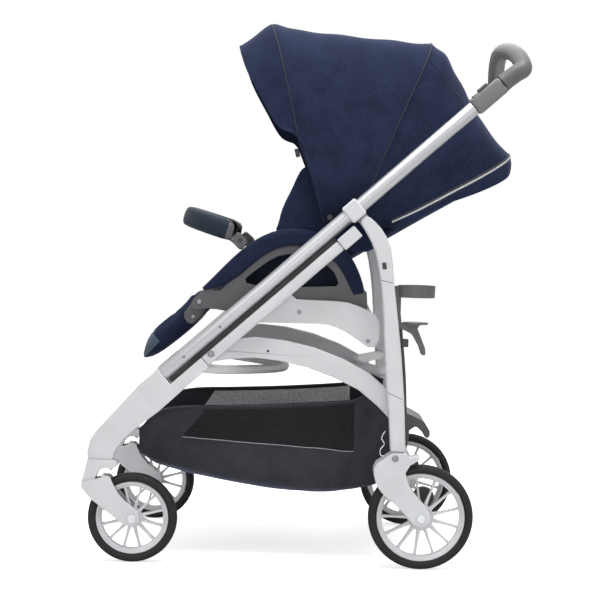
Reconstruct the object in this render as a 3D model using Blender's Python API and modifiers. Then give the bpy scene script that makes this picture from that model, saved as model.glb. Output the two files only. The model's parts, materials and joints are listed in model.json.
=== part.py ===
# Four-wheel pushchair with swivelling front casters, a reclining seat and a folding hood.
# Metres, +Z up. The pushchair faces -X, and its left side is at -Y.

import math

import bmesh
import bpy
from mathutils import Matrix, Vector

# Fits
FINE_CORNER = 0.0125
TOUCH = 0.0003
RUN = 0.0006

# Wheels
TRACK_HALF = 0.265
REAR_AXLE_X = 0.243
FRONT_AXLE_X = -0.3325
REAR_RADIUS = 0.105
FRONT_RADIUS = 0.0895
TYRE_WIDTH = 0.032
TYRE_HEIGHT = 0.0165
RIM_DEPTH = 0.011
REAR_SPOKES = 13
FRONT_SPOKES = 12
SPOKE_WIDTH = 0.0032
SPOKE_THICKNESS = 0.012
REAR_HUB_RADIUS = 0.026
FRONT_HUB_RADIUS = 0.019
HUB_LENGTH = 0.030
AXLE_RADIUS = 0.004
AXLE_HEAD = 0.003
REAR_WHEEL_GAP = 0.0035
WHEEL_STEPS = 28

# Sloping tubes
FRAME_ANGLE = math.radians(42.05)
LOWER_PIVOT_X = -0.1825
LOWER_PIVOT_Z = 0.4205
HEAD_TO_PIVOT = 0.152
CLAMP_LENGTH = 0.132
PUSH_TUBE_RISE = 0.031
PUSH_TUBE_RADIUS = 0.0145
PUSH_TUBE_START = -0.100
PUSH_TUBE_END = 0.7137
FRAME_TUBE_HEIGHT = 0.0215
FRAME_TUBE_WIDTH = 0.030
FRAME_TUBE_END = 0.3367
HOUSING_LENGTH = 0.045
SOCKET_LENGTH = 0.075
SEAL_WIDTH = 0.012
GRIP_RADIUS = 0.0178

# Folding linkage
UPPER_PIVOT = 0.405
LINK_REACH = 0.328
LINK_THICKNESS = 0.013
LINK_INSET = 0.0185
LINK_OUTER = TRACK_HALF - LINK_INSET
PIVOT_RADIUS = 0.006
SEAT_PIVOT = 0.19
CARRIER_INSET = 0.018
CARRIER_OUTER = LINK_OUTER - CARRIER_INSET
CARRIER_THICKNESS = 0.0165
SLEEVE_LENGTH = 0.034
SLEEVE_WALL_OUTER = 0.0195

# Rear leg and rear fork
LEG_WIDTH = 0.030
REAR_FORK_WALL = 0.007
FORK_TOP_Z = REAR_RADIUS + 0.128
CROSS_TUBE_RADIUS = 0.011
CROSS_TUBE_X = 0.2095
CROSS_TUBE_Z = 0.2225
BOW_RADIUS = 0.0105
REAR_BOW_BENDS = (0.0797, 0.1597)
FRONT_BOW_BENDS = (0.04245, 0.08745, 0.15745)

# Front caster
SWIVEL_X = -0.398
HEAD_BOTTOM_Z = 0.2065
STEM_RADIUS = 0.006
STEM_LENGTH = 0.028
FORK_PIVOT_X = -0.4245
FORK_PIVOT_Z = 0.151
FORK_PLATE = 0.004
FORK_PLATE_INSIDE = 0.0175
CASTER_WIDTH = 0.0335

# Width of the seat unit
SEAT_SIDE_INSET = 0.017
SEAT_SIDE_OUTER = CARRIER_OUTER - SEAT_SIDE_INSET

# Hood
HOOD_STAND = 0.016
HOOD_HALF_WIDTH = SEAT_SIDE_OUTER + HOOD_STAND
HOOD_CLOTH = 0.004
HOOD_SQUARENESS = 3.2
HOOD_PIVOT_X = 0.0845
HOOD_PIVOT_Z = 0.655

# Seat
SEAT_SIDE_THICKNESS = 0.015
SEAT_LENGTH = 0.255
ARMREST_LIP = 0.004
ARMREST_WIDTH = 0.034
WING_INSET = 0.0065
WING_OUTER = SEAT_SIDE_OUTER - WING_INSET
WING_THICKNESS = 0.005
CUSHION_THICKNESS = 0.034
SEAT_REAR_X = 0.0845
SEAT_REAR_Z = 0.600
RECLINE_X = 0.0745
RECLINE_Z = 0.598
RECLINE_ANGLE = math.radians(31.0)
RECLINE_PIN_RADIUS = 0.0038
BACK_LENGTH = 0.375
BACK_OVERHANG = 0.010
BACK_RISE = 0.009
BACK_THICKNESS = 0.030
BACK_SIDE_GAP = 0.0023
BACK_HALF_WIDTH = HOOD_HALF_WIDTH - HOOD_CLOTH - BACK_SIDE_GAP
LEGREST_X = SEAT_REAR_X - 0.298
LEGREST_Z = SEAT_REAR_Z - 0.079
LEGREST_SLOPE = math.radians(47.0)
LEGREST_LENGTH = 0.165
LEGREST_INSET = 0.0565
LEGREST_HALF_WIDTH = SEAT_SIDE_OUTER - LEGREST_INSET
LEGREST_THICKNESS = 0.036
BUMPER_X = SEAT_REAR_X - 0.218
BUMPER_Z = SEAT_REAR_Z + 0.048
BUMPER_HEIGHT = 0.046
BUMPER_DEPTH = 0.026
BUMPER_ARM = 0.009
BUMPER_REACH = 0.119

# Basket
BASKET_INSET = 0.060
BASKET_HALF_WIDTH = TRACK_HALF - BASKET_INSET
BASKET_CLOTH = 0.003
BASKET_TAB_WIDTH = 0.024
BASKET_TAB_HOLD = 0.020
BASKET_FRONT_TAB_X = -0.296
BASKET_FRONT_TAB_Z = 0.290
BASKET_REAR_TAB_Z = 0.272
BASKET_SQUARENESS = 5.0

# Across the basket at x: its top, its bottom and its share of the full width
BASKET_STATIONS = (
    (-0.322, 0.262, 0.222, 0.90),
    (-0.300, 0.290, 0.190, 0.94),
    (-0.240, 0.302, 0.170, 0.98),
    (-0.150, 0.306, 0.152, 1.0),
    (-0.050, 0.311, 0.139, 1.0),
    (0.050, 0.320, 0.135, 1.0),
    (0.105, 0.333, 0.140, 1.0),
    (0.110, 0.352, 0.145, 1.0),
    (0.186, 0.336, 0.160, 0.99),
)

# Cup holder
CUP_RADIUS = 0.037
CUP_WALL = 0.003
CUP_GAP = 0.004
CUP_RIM_Z = 0.567
CUP_INSET = 0.0075

# Each hoop of the hood: its base at the sides and its top in the middle, as (x, z)
FRONT_HOOPS = (
    ((0.034, 0.706), (-0.1455, 1.030)),
    ((0.036, 0.704), (-0.139, 1.062)),
    ((0.040, 0.702), (-0.114, 1.084)),
    ((0.048, 0.699), (-0.050, 1.091)),
    ((0.062, 0.695), (0.070, 1.080)),
    ((0.084, 0.690), (0.180, 1.069)),
    ((0.099, 0.688), (0.244, 1.057)),
)
REAR_HOOPS = (
    ((0.1005, 0.688), (0.2455, 1.0565)),
    ((0.110, 0.680), (0.265, 1.047)),
    ((0.130, 0.672), (0.297, 1.000)),
    ((0.152, 0.668), (0.348, 0.920)),
    ((0.170, 0.668), (0.402, 0.850)),
    ((0.175, 0.664), (0.4175, 0.8205)),
)

SIDES = (("left", -1.0), ("right", 1.0))
ALONG = Vector((math.cos(FRAME_ANGLE), 0.0, math.sin(FRAME_ANGLE)))
ACROSS = Vector((-math.sin(FRAME_ANGLE), 0.0, math.cos(FRAME_ANGLE)))
LOWER_PIVOT = Vector((LOWER_PIVOT_X, 0.0, LOWER_PIVOT_Z))
REAR_AXLE = Vector((REAR_AXLE_X, 0.0, REAR_RADIUS))
FRONT_AXLE = Vector((FRONT_AXLE_X, 0.0, FRONT_RADIUS))

parts = bpy.data.collections.new("pushchair")
cutters = bpy.data.collections.new("cutters")
materials = {}


def clear_scene():
    for obj in list(bpy.data.objects):
        bpy.data.objects.remove(obj)
    bpy.context.scene.collection.children.link(parts)
    bpy.context.scene.collection.children.link(cutters)


def make_material(name, colour, roughness, metallic=0.0):
    made = bpy.data.materials.new(name)
    made.use_nodes = True
    shader = made.node_tree.nodes["Principled BSDF"]
    shader.inputs["Base Color"].default_value = (*colour, 1.0)
    shader.inputs["Roughness"].default_value = roughness
    shader.inputs["Metallic"].default_value = metallic
    made.diffuse_color = (*colour, 1.0)
    materials[name] = made


def make_materials():
    make_material("white_paint", (0.72, 0.73, 0.74), 0.45)
    make_material("satin_aluminium", (0.62, 0.64, 0.67), 0.28, 1.0)
    make_material("grey_moulding", (0.11, 0.11, 0.115), 0.5)
    make_material("grey_grip", (0.16, 0.16, 0.165), 0.55)
    make_material("tyre_rubber", (0.02, 0.02, 0.021), 0.7)
    make_material("navy_cloth", (0.02, 0.028, 0.075), 0.9)
    make_material("navy_leather", (0.035, 0.06, 0.085), 0.45)
    make_material("basket_cloth", (0.022, 0.022, 0.028), 0.85)
    make_material("steel", (0.6, 0.6, 0.62), 0.25, 1.0)


def frame_point(t, h, y=0.0):
    """A point t along the sloping tubes from the lower pivot and h above their pivot line."""
    return LOWER_PIVOT + ALONG * t + ACROSS * h + Vector((0.0, y, 0.0))


def place(obj, node, material, collection=parts):
    obj.name = node
    obj.data.name = node
    collection.objects.link(obj)
    obj.data.materials.clear()
    obj.data.materials.append(materials[material])
    if collection is cutters:
        obj.hide_render = True
        obj.display_type = "WIRE"
    return obj


def mesh_object(bm, smooth=math.radians(35.0)):
    bmesh.ops.recalc_face_normals(bm, faces=bm.faces)
    closed = all(edge.is_manifold for edge in bm.edges)
    if closed and bm.calc_volume(signed=True) < 0:
        bmesh.ops.reverse_faces(bm, faces=bm.faces)
    mesh = bpy.data.meshes.new("mesh")
    bm.to_mesh(mesh)
    bm.free()
    mesh.shade_smooth()
    mesh.set_sharp_from_angle(angle=smooth)
    return bpy.data.objects.new("mesh", mesh)


def curve_to_mesh(curve, transform=None):
    """Turn a curve object into a mesh object with its caps welded."""
    bpy.context.scene.collection.objects.link(curve)
    bpy.context.view_layer.update()
    graph = bpy.context.evaluated_depsgraph_get()
    mesh = bpy.data.meshes.new_from_object(curve.evaluated_get(graph))
    bm = bmesh.new()
    bm.from_mesh(mesh)
    bmesh.ops.remove_doubles(bm, verts=bm.verts, dist=1e-6)
    bm.transform(transform or curve.matrix_world)
    bpy.data.meshes.remove(mesh)
    bpy.data.objects.remove(curve)
    return mesh_object(bm)


def rounded(points, radius, steps=2):
    """The outline with each corner turned into an arc of about this radius."""
    out = []
    count = len(points)
    for i, point in enumerate(points):
        here = Vector(point[:2])
        size = point[2] if len(point) > 2 else radius
        before = Vector(points[i - 1][:2])
        after = Vector(points[(i + 1) % count][:2])
        a = before - here
        b = after - here
        reach = min(size, a.length * 0.45, b.length * 0.45)
        start = here + a.normalized() * reach
        end = here + b.normalized() * reach
        pieces = steps if reach > FINE_CORNER else 1
        for k in range(pieces + 1):
            f = k / pieces
            out.append(start * (1 - f) ** 2 + here * 2 * f * (1 - f) + end * f**2)
    return out


def circle(x, z, radius, steps=12):
    return [
        Vector((x + radius * math.cos(2 * math.pi * k / steps), z + radius * math.sin(2 * math.pi * k / steps)))
        for k in range(steps)
    ]


def grown(outline, distance):
    """The outline moved outwards by this distance."""
    area = sum(a.x * b.y - b.x * a.y for a, b in zip(outline, outline[1:] + outline[:1]))
    way = math.copysign(distance, area)
    out = []
    for i, here in enumerate(outline):
        a = (here - outline[i - 1]).normalized()
        b = (outline[(i + 1) % len(outline)] - here).normalized()
        corner = (a + b).normalized()
        reach = way / max(corner.dot(a), 0.3)
        out.append(here + Vector((corner.y, -corner.x)) * reach)
    return out


def strip(spine, steps=2):
    """An outline around a smooth spine of (x, z, width) points, with round ends."""
    smooth = spline([Vector(p) for p in spine], steps)
    left = []
    right = []
    for i, point in enumerate(smooth):
        ahead = smooth[min(i + 1, len(smooth) - 1)]
        behind = smooth[max(i - 1, 0)]
        heading = Vector((ahead.x - behind.x, ahead.y - behind.y)).normalized()
        normal = Vector((-heading.y, heading.x))
        centre = Vector((point.x, point.y))
        left.append(centre + normal * point.z / 2)
        right.append(centre - normal * point.z / 2)
    return left + round_end(left[-1], right[-1]) + right[::-1] + round_end(right[0], left[0])


def round_end(start, end, steps=4):
    """Points of the half circle from start to end, turning clockwise."""
    centre = (start + end) / 2
    arm = start - centre
    out = []
    for k in range(1, steps):
        turn = -math.pi * k / steps
        out.append(centre + Matrix.Rotation(turn, 2) @ arm)
    return out


def spline(points, steps):
    """Points on a smooth curve through the given points."""
    out = []
    for i in range(len(points) - 1):
        a = points[max(i - 1, 0)]
        b = points[i]
        c = points[i + 1]
        d = points[min(i + 2, len(points) - 1)]
        for k in range(steps):
            f = k / steps
            out.append(
                0.5 * (b * 2 + (c - a) * f + (a * 2 - b * 5 + c * 4 - d) * f**2 + (b * 3 - a - c * 3 + d) * f**3)
            )
    out.append(points[-1].copy())
    return out


def plate(outlines, y_low, y_high, bevel=0.0, segments=1):
    """A flat outline in the XZ plane, with any holes after it, extruded from y_low to y_high."""
    curve = bpy.data.curves.new("outline", "CURVE")
    curve.dimensions = "2D"
    curve.fill_mode = "BOTH"
    curve.extrude = (y_high - y_low) / 2
    for outline in outlines:
        spline_data = curve.splines.new("POLY")
        spline_data.points.add(len(outline) - 1)
        for target, point in zip(spline_data.points, outline):
            target.co = (point[0], point[1], 0.0, 1.0)
        spline_data.use_cyclic_u = True
    stand = Matrix.Translation((0.0, (y_low + y_high) / 2, 0.0)) @ Matrix.Rotation(math.pi / 2, 4, "X")
    obj = curve_to_mesh(bpy.data.objects.new("outline", curve), stand)
    if bevel:
        add_bevel(obj, bevel, segments)
    return obj


def side_plate(outlines, side, inner, outer, bevel=0.0, segments=1):
    """A plate between two distances from the middle plane, on one side."""
    low, high = sorted((side * inner, side * outer))
    return plate(outlines, low, high, bevel, segments)


def add_bevel(obj, width, segments=1, angle=math.radians(40.0)):
    bevel = obj.modifiers.new("rounded edges", "BEVEL")
    bevel.width = width
    bevel.segments = segments
    bevel.limit_method = "ANGLE"
    bevel.angle_limit = angle


def rod(start, end, radius, steps=12):
    """A round bar between two points."""
    start = Vector(start)
    end = Vector(end)
    bm = bmesh.new()
    bmesh.ops.create_cone(
        bm, cap_ends=True, segments=steps, radius1=radius, radius2=radius, depth=(end - start).length
    )
    turn = (end - start).to_track_quat("Z", "Y").to_matrix().to_4x4()
    bm.transform(Matrix.Translation((start + end) / 2) @ turn)
    return mesh_object(bm)


def cross_rod(x, z, y_start, y_end, radius, steps=12):
    return rod((x, y_start, z), (x, y_end, z), radius, steps)


def block(t_low, t_high, h_low, h_high, y_low, y_high):
    """A block that lies along the sloping tubes."""
    bm = bmesh.new()
    bmesh.ops.create_cube(bm, size=1.0)
    bmesh.ops.scale(bm, vec=(t_high - t_low, y_high - y_low, h_high - h_low), verts=bm.verts)
    middle = frame_point((t_low + t_high) / 2, (h_low + h_high) / 2, (y_low + y_high) / 2)
    bm.transform(Matrix.Translation(middle) @ Matrix.Rotation(-FRAME_ANGLE, 4, "Y"))
    return mesh_object(bm)


def tube(points, radius, ends, steps=4, resolution=2):
    """A bent round tube through the points, with a straight run to each end point."""
    curve = bpy.data.curves.new("tube", "CURVE")
    curve.dimensions = "3D"
    curve.bevel_depth = radius
    curve.bevel_resolution = resolution
    curve.use_fill_caps = True
    route = [Vector(ends[0])] + spline([Vector(p) for p in points], steps) + [Vector(ends[1])]
    spline_data = curve.splines.new("POLY")
    spline_data.points.add(len(route) - 1)
    for target, point in zip(spline_data.points, route):
        target.co = (*point, 1.0)
    return curve_to_mesh(bpy.data.objects.new("tube", curve))


def turned(profile, x, y, z, steps=WHEEL_STEPS, upright=True, closed=True):
    """A ring turned about an axle along Y, or about Z: the profile is (radius, offset along the axle).
    The flats between its facets lie at the stated radius, so a wheel stands on one of them."""
    bm = bmesh.new()
    flat = math.pi / steps
    loop = []
    for radius, offset in profile:
        loop.append(bm.verts.new((radius, radius * math.tan(flat), offset)))
    for a, b in zip(loop, loop[1:]):
        bm.edges.new((a, b))
    if closed:
        bm.edges.new((loop[-1], loop[0]))
    mesh = bpy.data.meshes.new("profile")
    bm.to_mesh(mesh)
    bm.free()
    obj = bpy.data.objects.new("profile", mesh)
    obj.location = (x, y, z)
    if upright:
        obj.rotation_euler = (math.pi / 2, 0.0, 0.0)
    screw = obj.modifiers.new("turned", "SCREW")
    screw.steps = steps
    screw.render_steps = steps
    screw.use_merge_vertices = True
    screw.merge_threshold = 0.00001
    screw.use_normal_calculate = True
    screw.use_normal_flip = not closed
    screw.use_smooth_shade = True
    return obj


def boolean(obj, other, operation):
    """Add or cut another shape, and keep it as a hidden guide."""
    place(other, obj.name + "_guide", "steel", cutters)
    modifier = obj.modifiers.new(operation.lower(), "BOOLEAN")
    modifier.object = other
    modifier.operation = operation
    modifier.solver = "EXACT"
    return obj


def apply_modifiers(obj):
    """Replace the object's mesh by what its modifiers make."""
    bpy.context.view_layer.update()
    graph = bpy.context.evaluated_depsgraph_get()
    made = bpy.data.meshes.new_from_object(obj.evaluated_get(graph))
    obj.modifiers.clear()
    obj.data = made
    return obj


def set_origins(point, *nodes):
    """Put the pieces' origins on the axis of the joint that moves them, with their shapes unmoved."""
    for node in nodes:
        obj = parts.objects[node]
        obj.data.transform(Matrix.Translation(-point) @ obj.matrix_basis)
        obj.matrix_basis = Matrix.Translation(point)


# Wheels

def tyre_profile(radius):
    half = TYRE_WIDTH / 2
    inner = radius - TYRE_HEIGHT
    right = [(inner, half * 0.80), (inner + TYRE_HEIGHT * 0.55, half), (radius, half * 0.42)]
    return right[::-1] + [(r, -y) for r, y in right]


def rim_profile(radius):
    outer = radius - TYRE_HEIGHT - TOUCH
    half = TYRE_WIDTH / 2 * 0.80
    return [(outer, half), (outer, -half), (outer - RIM_DEPTH, -half * 0.6), (outer - RIM_DEPTH, half * 0.6)]


def spoke_windows(outer, inner, spokes):
    """The openings between the spokes, as outlines around the hub."""
    windows = []
    pitch = 2 * math.pi / spokes
    for k in range(spokes):
        middle = pitch * k
        outline = []
        for reach, order in ((outer, 1), (inner, -1)):
            spread = (pitch / 2 - math.asin(SPOKE_WIDTH / 2 / reach)) * order
            turns = (middle - spread, middle + spread)
            outline += [Vector((reach * math.cos(a), reach * math.sin(a))) for a in turns]
        windows.append(outline)
    return windows


def build_wheel(name, side, axle, radius, hub_radius, spokes):
    y = side * TRACK_HALF
    tyre = turned(tyre_profile(radius), axle.x, y, axle.z)
    place(tyre, f"{name}_tyre", "tyre_rubber")
    ring = turned(rim_profile(radius), axle.x, y, axle.z)
    place(ring, f"{name}_rim", "white_paint")
    apply_modifiers(ring)
    inner = radius - TYRE_HEIGHT - TOUCH - RIM_DEPTH * 0.6
    shift = Vector((axle.x, axle.z))
    outline = [shift + p for p in circle(0.0, 0.0, inner, WHEEL_STEPS)]
    openings = spoke_windows(inner - RIM_DEPTH * 0.1, hub_radius * 0.85, spokes)
    windows = [[shift + p for p in window] for window in openings]
    web = plate([outline] + windows, y - SPOKE_THICKNESS / 2, y + SPOKE_THICKNESS / 2)
    boolean(ring, web, "UNION")
    hub = cross_rod(axle.x, axle.z, y - HUB_LENGTH / 2, y + HUB_LENGTH / 2, hub_radius, 14)
    boolean(ring, hub, "UNION")
    bore = cross_rod(axle.x, axle.z, y - TYRE_WIDTH, y + TYRE_WIDTH, AXLE_RADIUS + RUN, 8)
    boolean(ring, bore, "DIFFERENCE")


def build_wheels():
    for word, side in SIDES:
        build_wheel(f"rear_wheel_{word}", side, REAR_AXLE, REAR_RADIUS, REAR_HUB_RADIUS, REAR_SPOKES)
        build_wheel(f"front_wheel_{word}", side, FRONT_AXLE, FRONT_RADIUS, FRONT_HUB_RADIUS, FRONT_SPOKES)


# Sloping frame

def along_points(pairs):
    return [Vector((frame_point(t, h).x, frame_point(t, h).z)) for t, h in pairs]


def build_front_leg(word, side):
    inner = TRACK_HALF - CASTER_WIDTH / 2
    outer = TRACK_HALF + CASTER_WIDTH / 2
    top = FRAME_TUBE_HEIGHT / 2
    head = [
        (SWIVEL_X - 0.0255, HEAD_BOTTOM_Z, 0.002),
        (SWIVEL_X - 0.0265, HEAD_BOTTOM_Z + 0.027, 0.012),
        (SWIVEL_X - 0.013, HEAD_BOTTOM_Z + 0.052, 0.02),
    ]
    upper = along_points([(-HEAD_TO_PIVOT - TOUCH, PUSH_TUBE_RISE + PUSH_TUBE_RADIUS + 0.001)])
    lower = along_points([(-HEAD_TO_PIVOT - TOUCH, -top - 0.008)])
    knee = [
        (SWIVEL_X + 0.052, HEAD_BOTTOM_Z + 0.050, 0.02),
        (SWIVEL_X + 0.0255, HEAD_BOTTOM_Z + 0.012, 0.012),
        (SWIVEL_X + 0.0255, HEAD_BOTTOM_Z, 0.002),
    ]
    joint = [(p.x, p.y, 0.001) for p in upper + lower]
    leg = side_plate([rounded(head + joint + knee, 0.01)], side, inner, outer, 0.004, 2)
    place(leg, f"front_leg_{word}", "white_paint")
    apply_modifiers(leg)
    boolean(leg, tube_socket(side), "UNION")
    y = side * TRACK_HALF
    bore = rod((SWIVEL_X, y, HEAD_BOTTOM_Z - 0.01), (SWIVEL_X, y, HEAD_BOTTOM_Z + STEM_LENGTH), STEM_RADIUS + RUN, 16)
    boolean(leg, bore, "DIFFERENCE")


def tube_socket(side):
    """The end of the front leg that clamps both sloping tubes, a little wider than the leg."""
    top = PUSH_TUBE_RISE + PUSH_TUBE_RADIUS + 0.0015
    base = FRAME_TUBE_HEIGHT / 2
    step = CLAMP_LENGTH - HEAD_TO_PIVOT
    outline = along_points(
        [
            (-HEAD_TO_PIVOT - 0.004, -base - 0.008),
            (-HEAD_TO_PIVOT - 0.004, top),
            (PUSH_TUBE_START - TOUCH, top),
            (PUSH_TUBE_START - TOUCH, base - 0.0035),
            (step, base - 0.0035),
            (step, -base - 0.0055),
        ]
    )
    inner = TRACK_HALF - CASTER_WIDTH / 2 - 0.0005
    return side_plate([outline], side, inner, 2 * TRACK_HALF - inner, 0.0015)


def build_frame_tubes(word, side):
    y = side * TRACK_HALF
    push = rod(
        frame_point(PUSH_TUBE_START, PUSH_TUBE_RISE, y),
        frame_point(PUSH_TUBE_END, PUSH_TUBE_RISE, y),
        PUSH_TUBE_RADIUS,
        20,
    )
    place(push, f"push_tube_{word}", "satin_aluminium")
    half = FRAME_TUBE_HEIGHT / 2
    start = CLAMP_LENGTH - HEAD_TO_PIVOT + TOUCH
    wide = FRAME_TUBE_WIDTH / 2
    frame_tube = block(start, FRAME_TUBE_END, -half - 0.0035, half - 0.0035, y - wide, y + wide)
    place(frame_tube, f"frame_tube_{word}", "white_paint")
    add_bevel(frame_tube, 0.004, 2)
    apply_modifiers(frame_tube)
    for t, reach in ((0.0, LINK_OUTER - LINK_THICKNESS), (SEAT_PIVOT, CARRIER_OUTER - CARRIER_THICKNESS)):
        axis = frame_point(t, 0.0)
        pin = cross_rod(axis.x, axis.z, side * (reach + TOUCH), side * (TRACK_HALF - wide + 0.004), PIVOT_RADIUS)
        boolean(frame_tube, pin, "UNION")
    housing = block(
        FRAME_TUBE_END + TOUCH,
        FRAME_TUBE_END + HOUSING_LENGTH,
        -half - 0.0065,
        half - 0.001,
        y - wide - 0.0015,
        y + wide + 0.0015,
    )
    place(housing, f"lock_housing_{word}", "white_paint")
    add_bevel(housing, 0.002)


def build_seal(word, side):
    """The dark strip that closes the gap between the two sloping tubes."""
    y = side * TRACK_HALF
    seal = block(
        PUSH_TUBE_START + 0.003,
        FRAME_TUBE_END,
        FRAME_TUBE_HEIGHT / 2 - 0.0035 + TOUCH,
        PUSH_TUBE_RISE - PUSH_TUBE_RADIUS - TOUCH,
        y - SEAL_WIDTH / 2,
        y + SEAL_WIDTH / 2,
    )
    place(seal, f"tube_seal_{word}", "tyre_rubber")


def build_handle():
    for word, side in SIDES:
        y = side * TRACK_HALF
        socket = block(
            PUSH_TUBE_END + TOUCH,
            PUSH_TUBE_END + SOCKET_LENGTH,
            PUSH_TUBE_RISE - 0.0185,
            PUSH_TUBE_RISE + 0.0165,
            y - 0.0175,
            y + 0.0175,
        )
        place(socket, f"handle_socket_{word}", "grey_moulding")
        add_bevel(socket, 0.007, 2)
        slider = block(
            PUSH_TUBE_END + 0.026,
            PUSH_TUBE_END + 0.050,
            PUSH_TUBE_RISE + 0.0165 + TOUCH,
            PUSH_TUBE_RISE + 0.0235,
            y - 0.007,
            y + 0.007,
        )
        place(slider, f"fold_button_{word}", "grey_moulding")
        add_bevel(slider, 0.0015)
    start = PUSH_TUBE_END + SOCKET_LENGTH + TOUCH
    arm = [
        (start + 0.012, PUSH_TUBE_RISE - 0.001, TRACK_HALF),
        (start + 0.026, PUSH_TUBE_RISE - 0.0025, TRACK_HALF),
        (start + 0.045, PUSH_TUBE_RISE - 0.002, TRACK_HALF - 0.002),
        (start + 0.059, PUSH_TUBE_RISE + 0.0145, TRACK_HALF - 0.012),
        (start + 0.055, PUSH_TUBE_RISE + 0.035, TRACK_HALF - 0.032),
        (start + 0.043, PUSH_TUBE_RISE + 0.0455, TRACK_HALF - 0.065),
        (start + 0.039, PUSH_TUBE_RISE + 0.047, TRACK_HALF - 0.150),
    ]
    route = [frame_point(t, h, -y) for t, h, y in arm] + [frame_point(t, h, y) for t, h, y in arm[::-1]]
    ends = [frame_point(start, PUSH_TUBE_RISE - 0.001, side * TRACK_HALF) for word, side in SIDES]
    place(tube(route, GRIP_RADIUS, ends, 2, 2), "handle_grip", "grey_grip")


def build_sleeve(word, side):
    """The sleeve that slides on the push tube and carries the top of the rear leg."""
    y = side * TRACK_HALF
    low = UPPER_PIVOT - 0.021
    sleeve = block(
        low,
        low + SLEEVE_LENGTH,
        PUSH_TUBE_RISE - SLEEVE_WALL_OUTER + 0.001,
        PUSH_TUBE_RISE + SLEEVE_WALL_OUTER,
        y - SLEEVE_WALL_OUTER,
        y + SLEEVE_WALL_OUTER,
    )
    place(sleeve, f"tube_sleeve_{word}", "white_paint")
    add_bevel(sleeve, 0.003)
    apply_modifiers(sleeve)
    boss = 0.011
    lug_outline = along_points([(UPPER_PIVOT - boss, PUSH_TUBE_RISE), (UPPER_PIVOT + boss, PUSH_TUBE_RISE)])
    turns = [math.pi * k / 6 for k in range(7)]
    lug_outline += along_points([(UPPER_PIVOT + boss * math.cos(a), -boss * math.sin(a)) for a in turns])
    inner = TRACK_HALF - LEG_WIDTH / 2 - 0.0005
    boolean(sleeve, side_plate([lug_outline], side, inner - 0.011, inner), "UNION")
    axis = frame_point(UPPER_PIVOT, 0.0)
    pin = cross_rod(axis.x, axis.z, side * (inner - 0.004), side * (inner + 0.012), 0.0045, 10)
    boolean(sleeve, pin, "UNION")
    bore = rod(
        frame_point(low - 0.02, PUSH_TUBE_RISE, y),
        frame_point(low + SLEEVE_LENGTH + 0.02, PUSH_TUBE_RISE, y),
        PUSH_TUBE_RADIUS + RUN * 1.5,
        16,
    )
    boolean(sleeve, bore, "DIFFERENCE")


# Folding linkage. The lower link and the top of the rear leg are equally long, so the leg's
# top runs straight up the push tube while the link turns.

def leg_pivot():
    middle = frame_point(UPPER_PIVOT / 2, 0.0)
    return middle - ACROSS * LINK_REACH


def build_link(word, side):
    start = LOWER_PIVOT
    end = leg_pivot()
    chord = end - start
    normal = Vector((-chord.z, 0.0, chord.x)).normalized()
    shape = (
        (0.0, 0.0, 0.034),
        (0.20, 0.037, 0.042),
        (0.50, 0.052, 0.042),
        (0.80, 0.038, 0.040),
        (1.0, 0.0, 0.036),
    )
    spine = []
    for f, rise, width in shape:
        point = start + chord * f + normal * rise
        spine.append((point.x, point.z, width))
    holes = [circle(p.x, p.z, PIVOT_RADIUS + RUN) for p in (start, end)]
    link = side_plate([strip(spine)] + holes, side, LINK_OUTER - LINK_THICKNESS, LINK_OUTER, 0.002)
    place(link, f"lower_link_{word}", "white_paint")


def leg_spine():
    """The rear leg's middle line and widths, from the sleeve pivot down past the link pivot."""
    top = frame_point(UPPER_PIVOT, 0.0)
    x = leg_pivot().x
    z = leg_pivot().z
    return [
        (top.x, top.z, 0.023),
        (top.x + 0.018, top.z - 0.021, 0.030),
        (top.x + 0.035, top.z - 0.055, 0.032),
        (top.x + 0.0455, top.z - 0.117, 0.027),
        (x - 0.015, z + 0.188, 0.029),
        (x - 0.0075, z + 0.108, 0.033),
        (x - 0.001, z + 0.028, 0.034),
        (x + 0.005, z - 0.035, 0.029),
    ]


def rear_edge(z):
    """How far back the rear leg reaches at this height."""
    outline = strip(leg_spine())
    reach = []
    for a, b in zip(outline, outline[1:] + outline[:1]):
        if min(a.y, b.y) <= z < max(a.y, b.y):
            reach.append(a.x + (b.x - a.x) * (z - a.y) / (b.y - a.y))
    return max(reach)


def build_rear_leg(word, side):
    top = frame_point(UPPER_PIVOT, 0.0)
    x = leg_pivot().x
    z = leg_pivot().z
    bottom = FORK_TOP_Z + TOUCH
    outline = strip(leg_spine())
    outline = [p for p in outline if p.y > bottom + 0.006 and p.y > z - 0.034]
    foot = [Vector((x + 0.0215, bottom)), Vector((x - 0.0085, bottom))]
    split = max(range(len(outline)), key=lambda i: -outline[i].y * 4 + outline[i].x)
    leg = side_plate(
        [outline[: split + 1] + foot + outline[split + 1 :]],
        side,
        TRACK_HALF - LEG_WIDTH / 2,
        TRACK_HALF + LEG_WIDTH / 2,
        0.0045,
    )
    place(leg, f"rear_leg_{word}", "white_paint")
    apply_modifiers(leg)
    inner = TRACK_HALF - LEG_WIDTH / 2
    hole = cross_rod(top.x, top.z, side * (inner - 0.01), side * (inner + 0.0125), 0.0045 + RUN)
    boolean(leg, hole, "DIFFERENCE")
    pin = cross_rod(x, z, side * (LINK_OUTER - LINK_THICKNESS + TOUCH), side * (inner + 0.004), PIVOT_RADIUS)
    boolean(leg, pin, "UNION")


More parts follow.
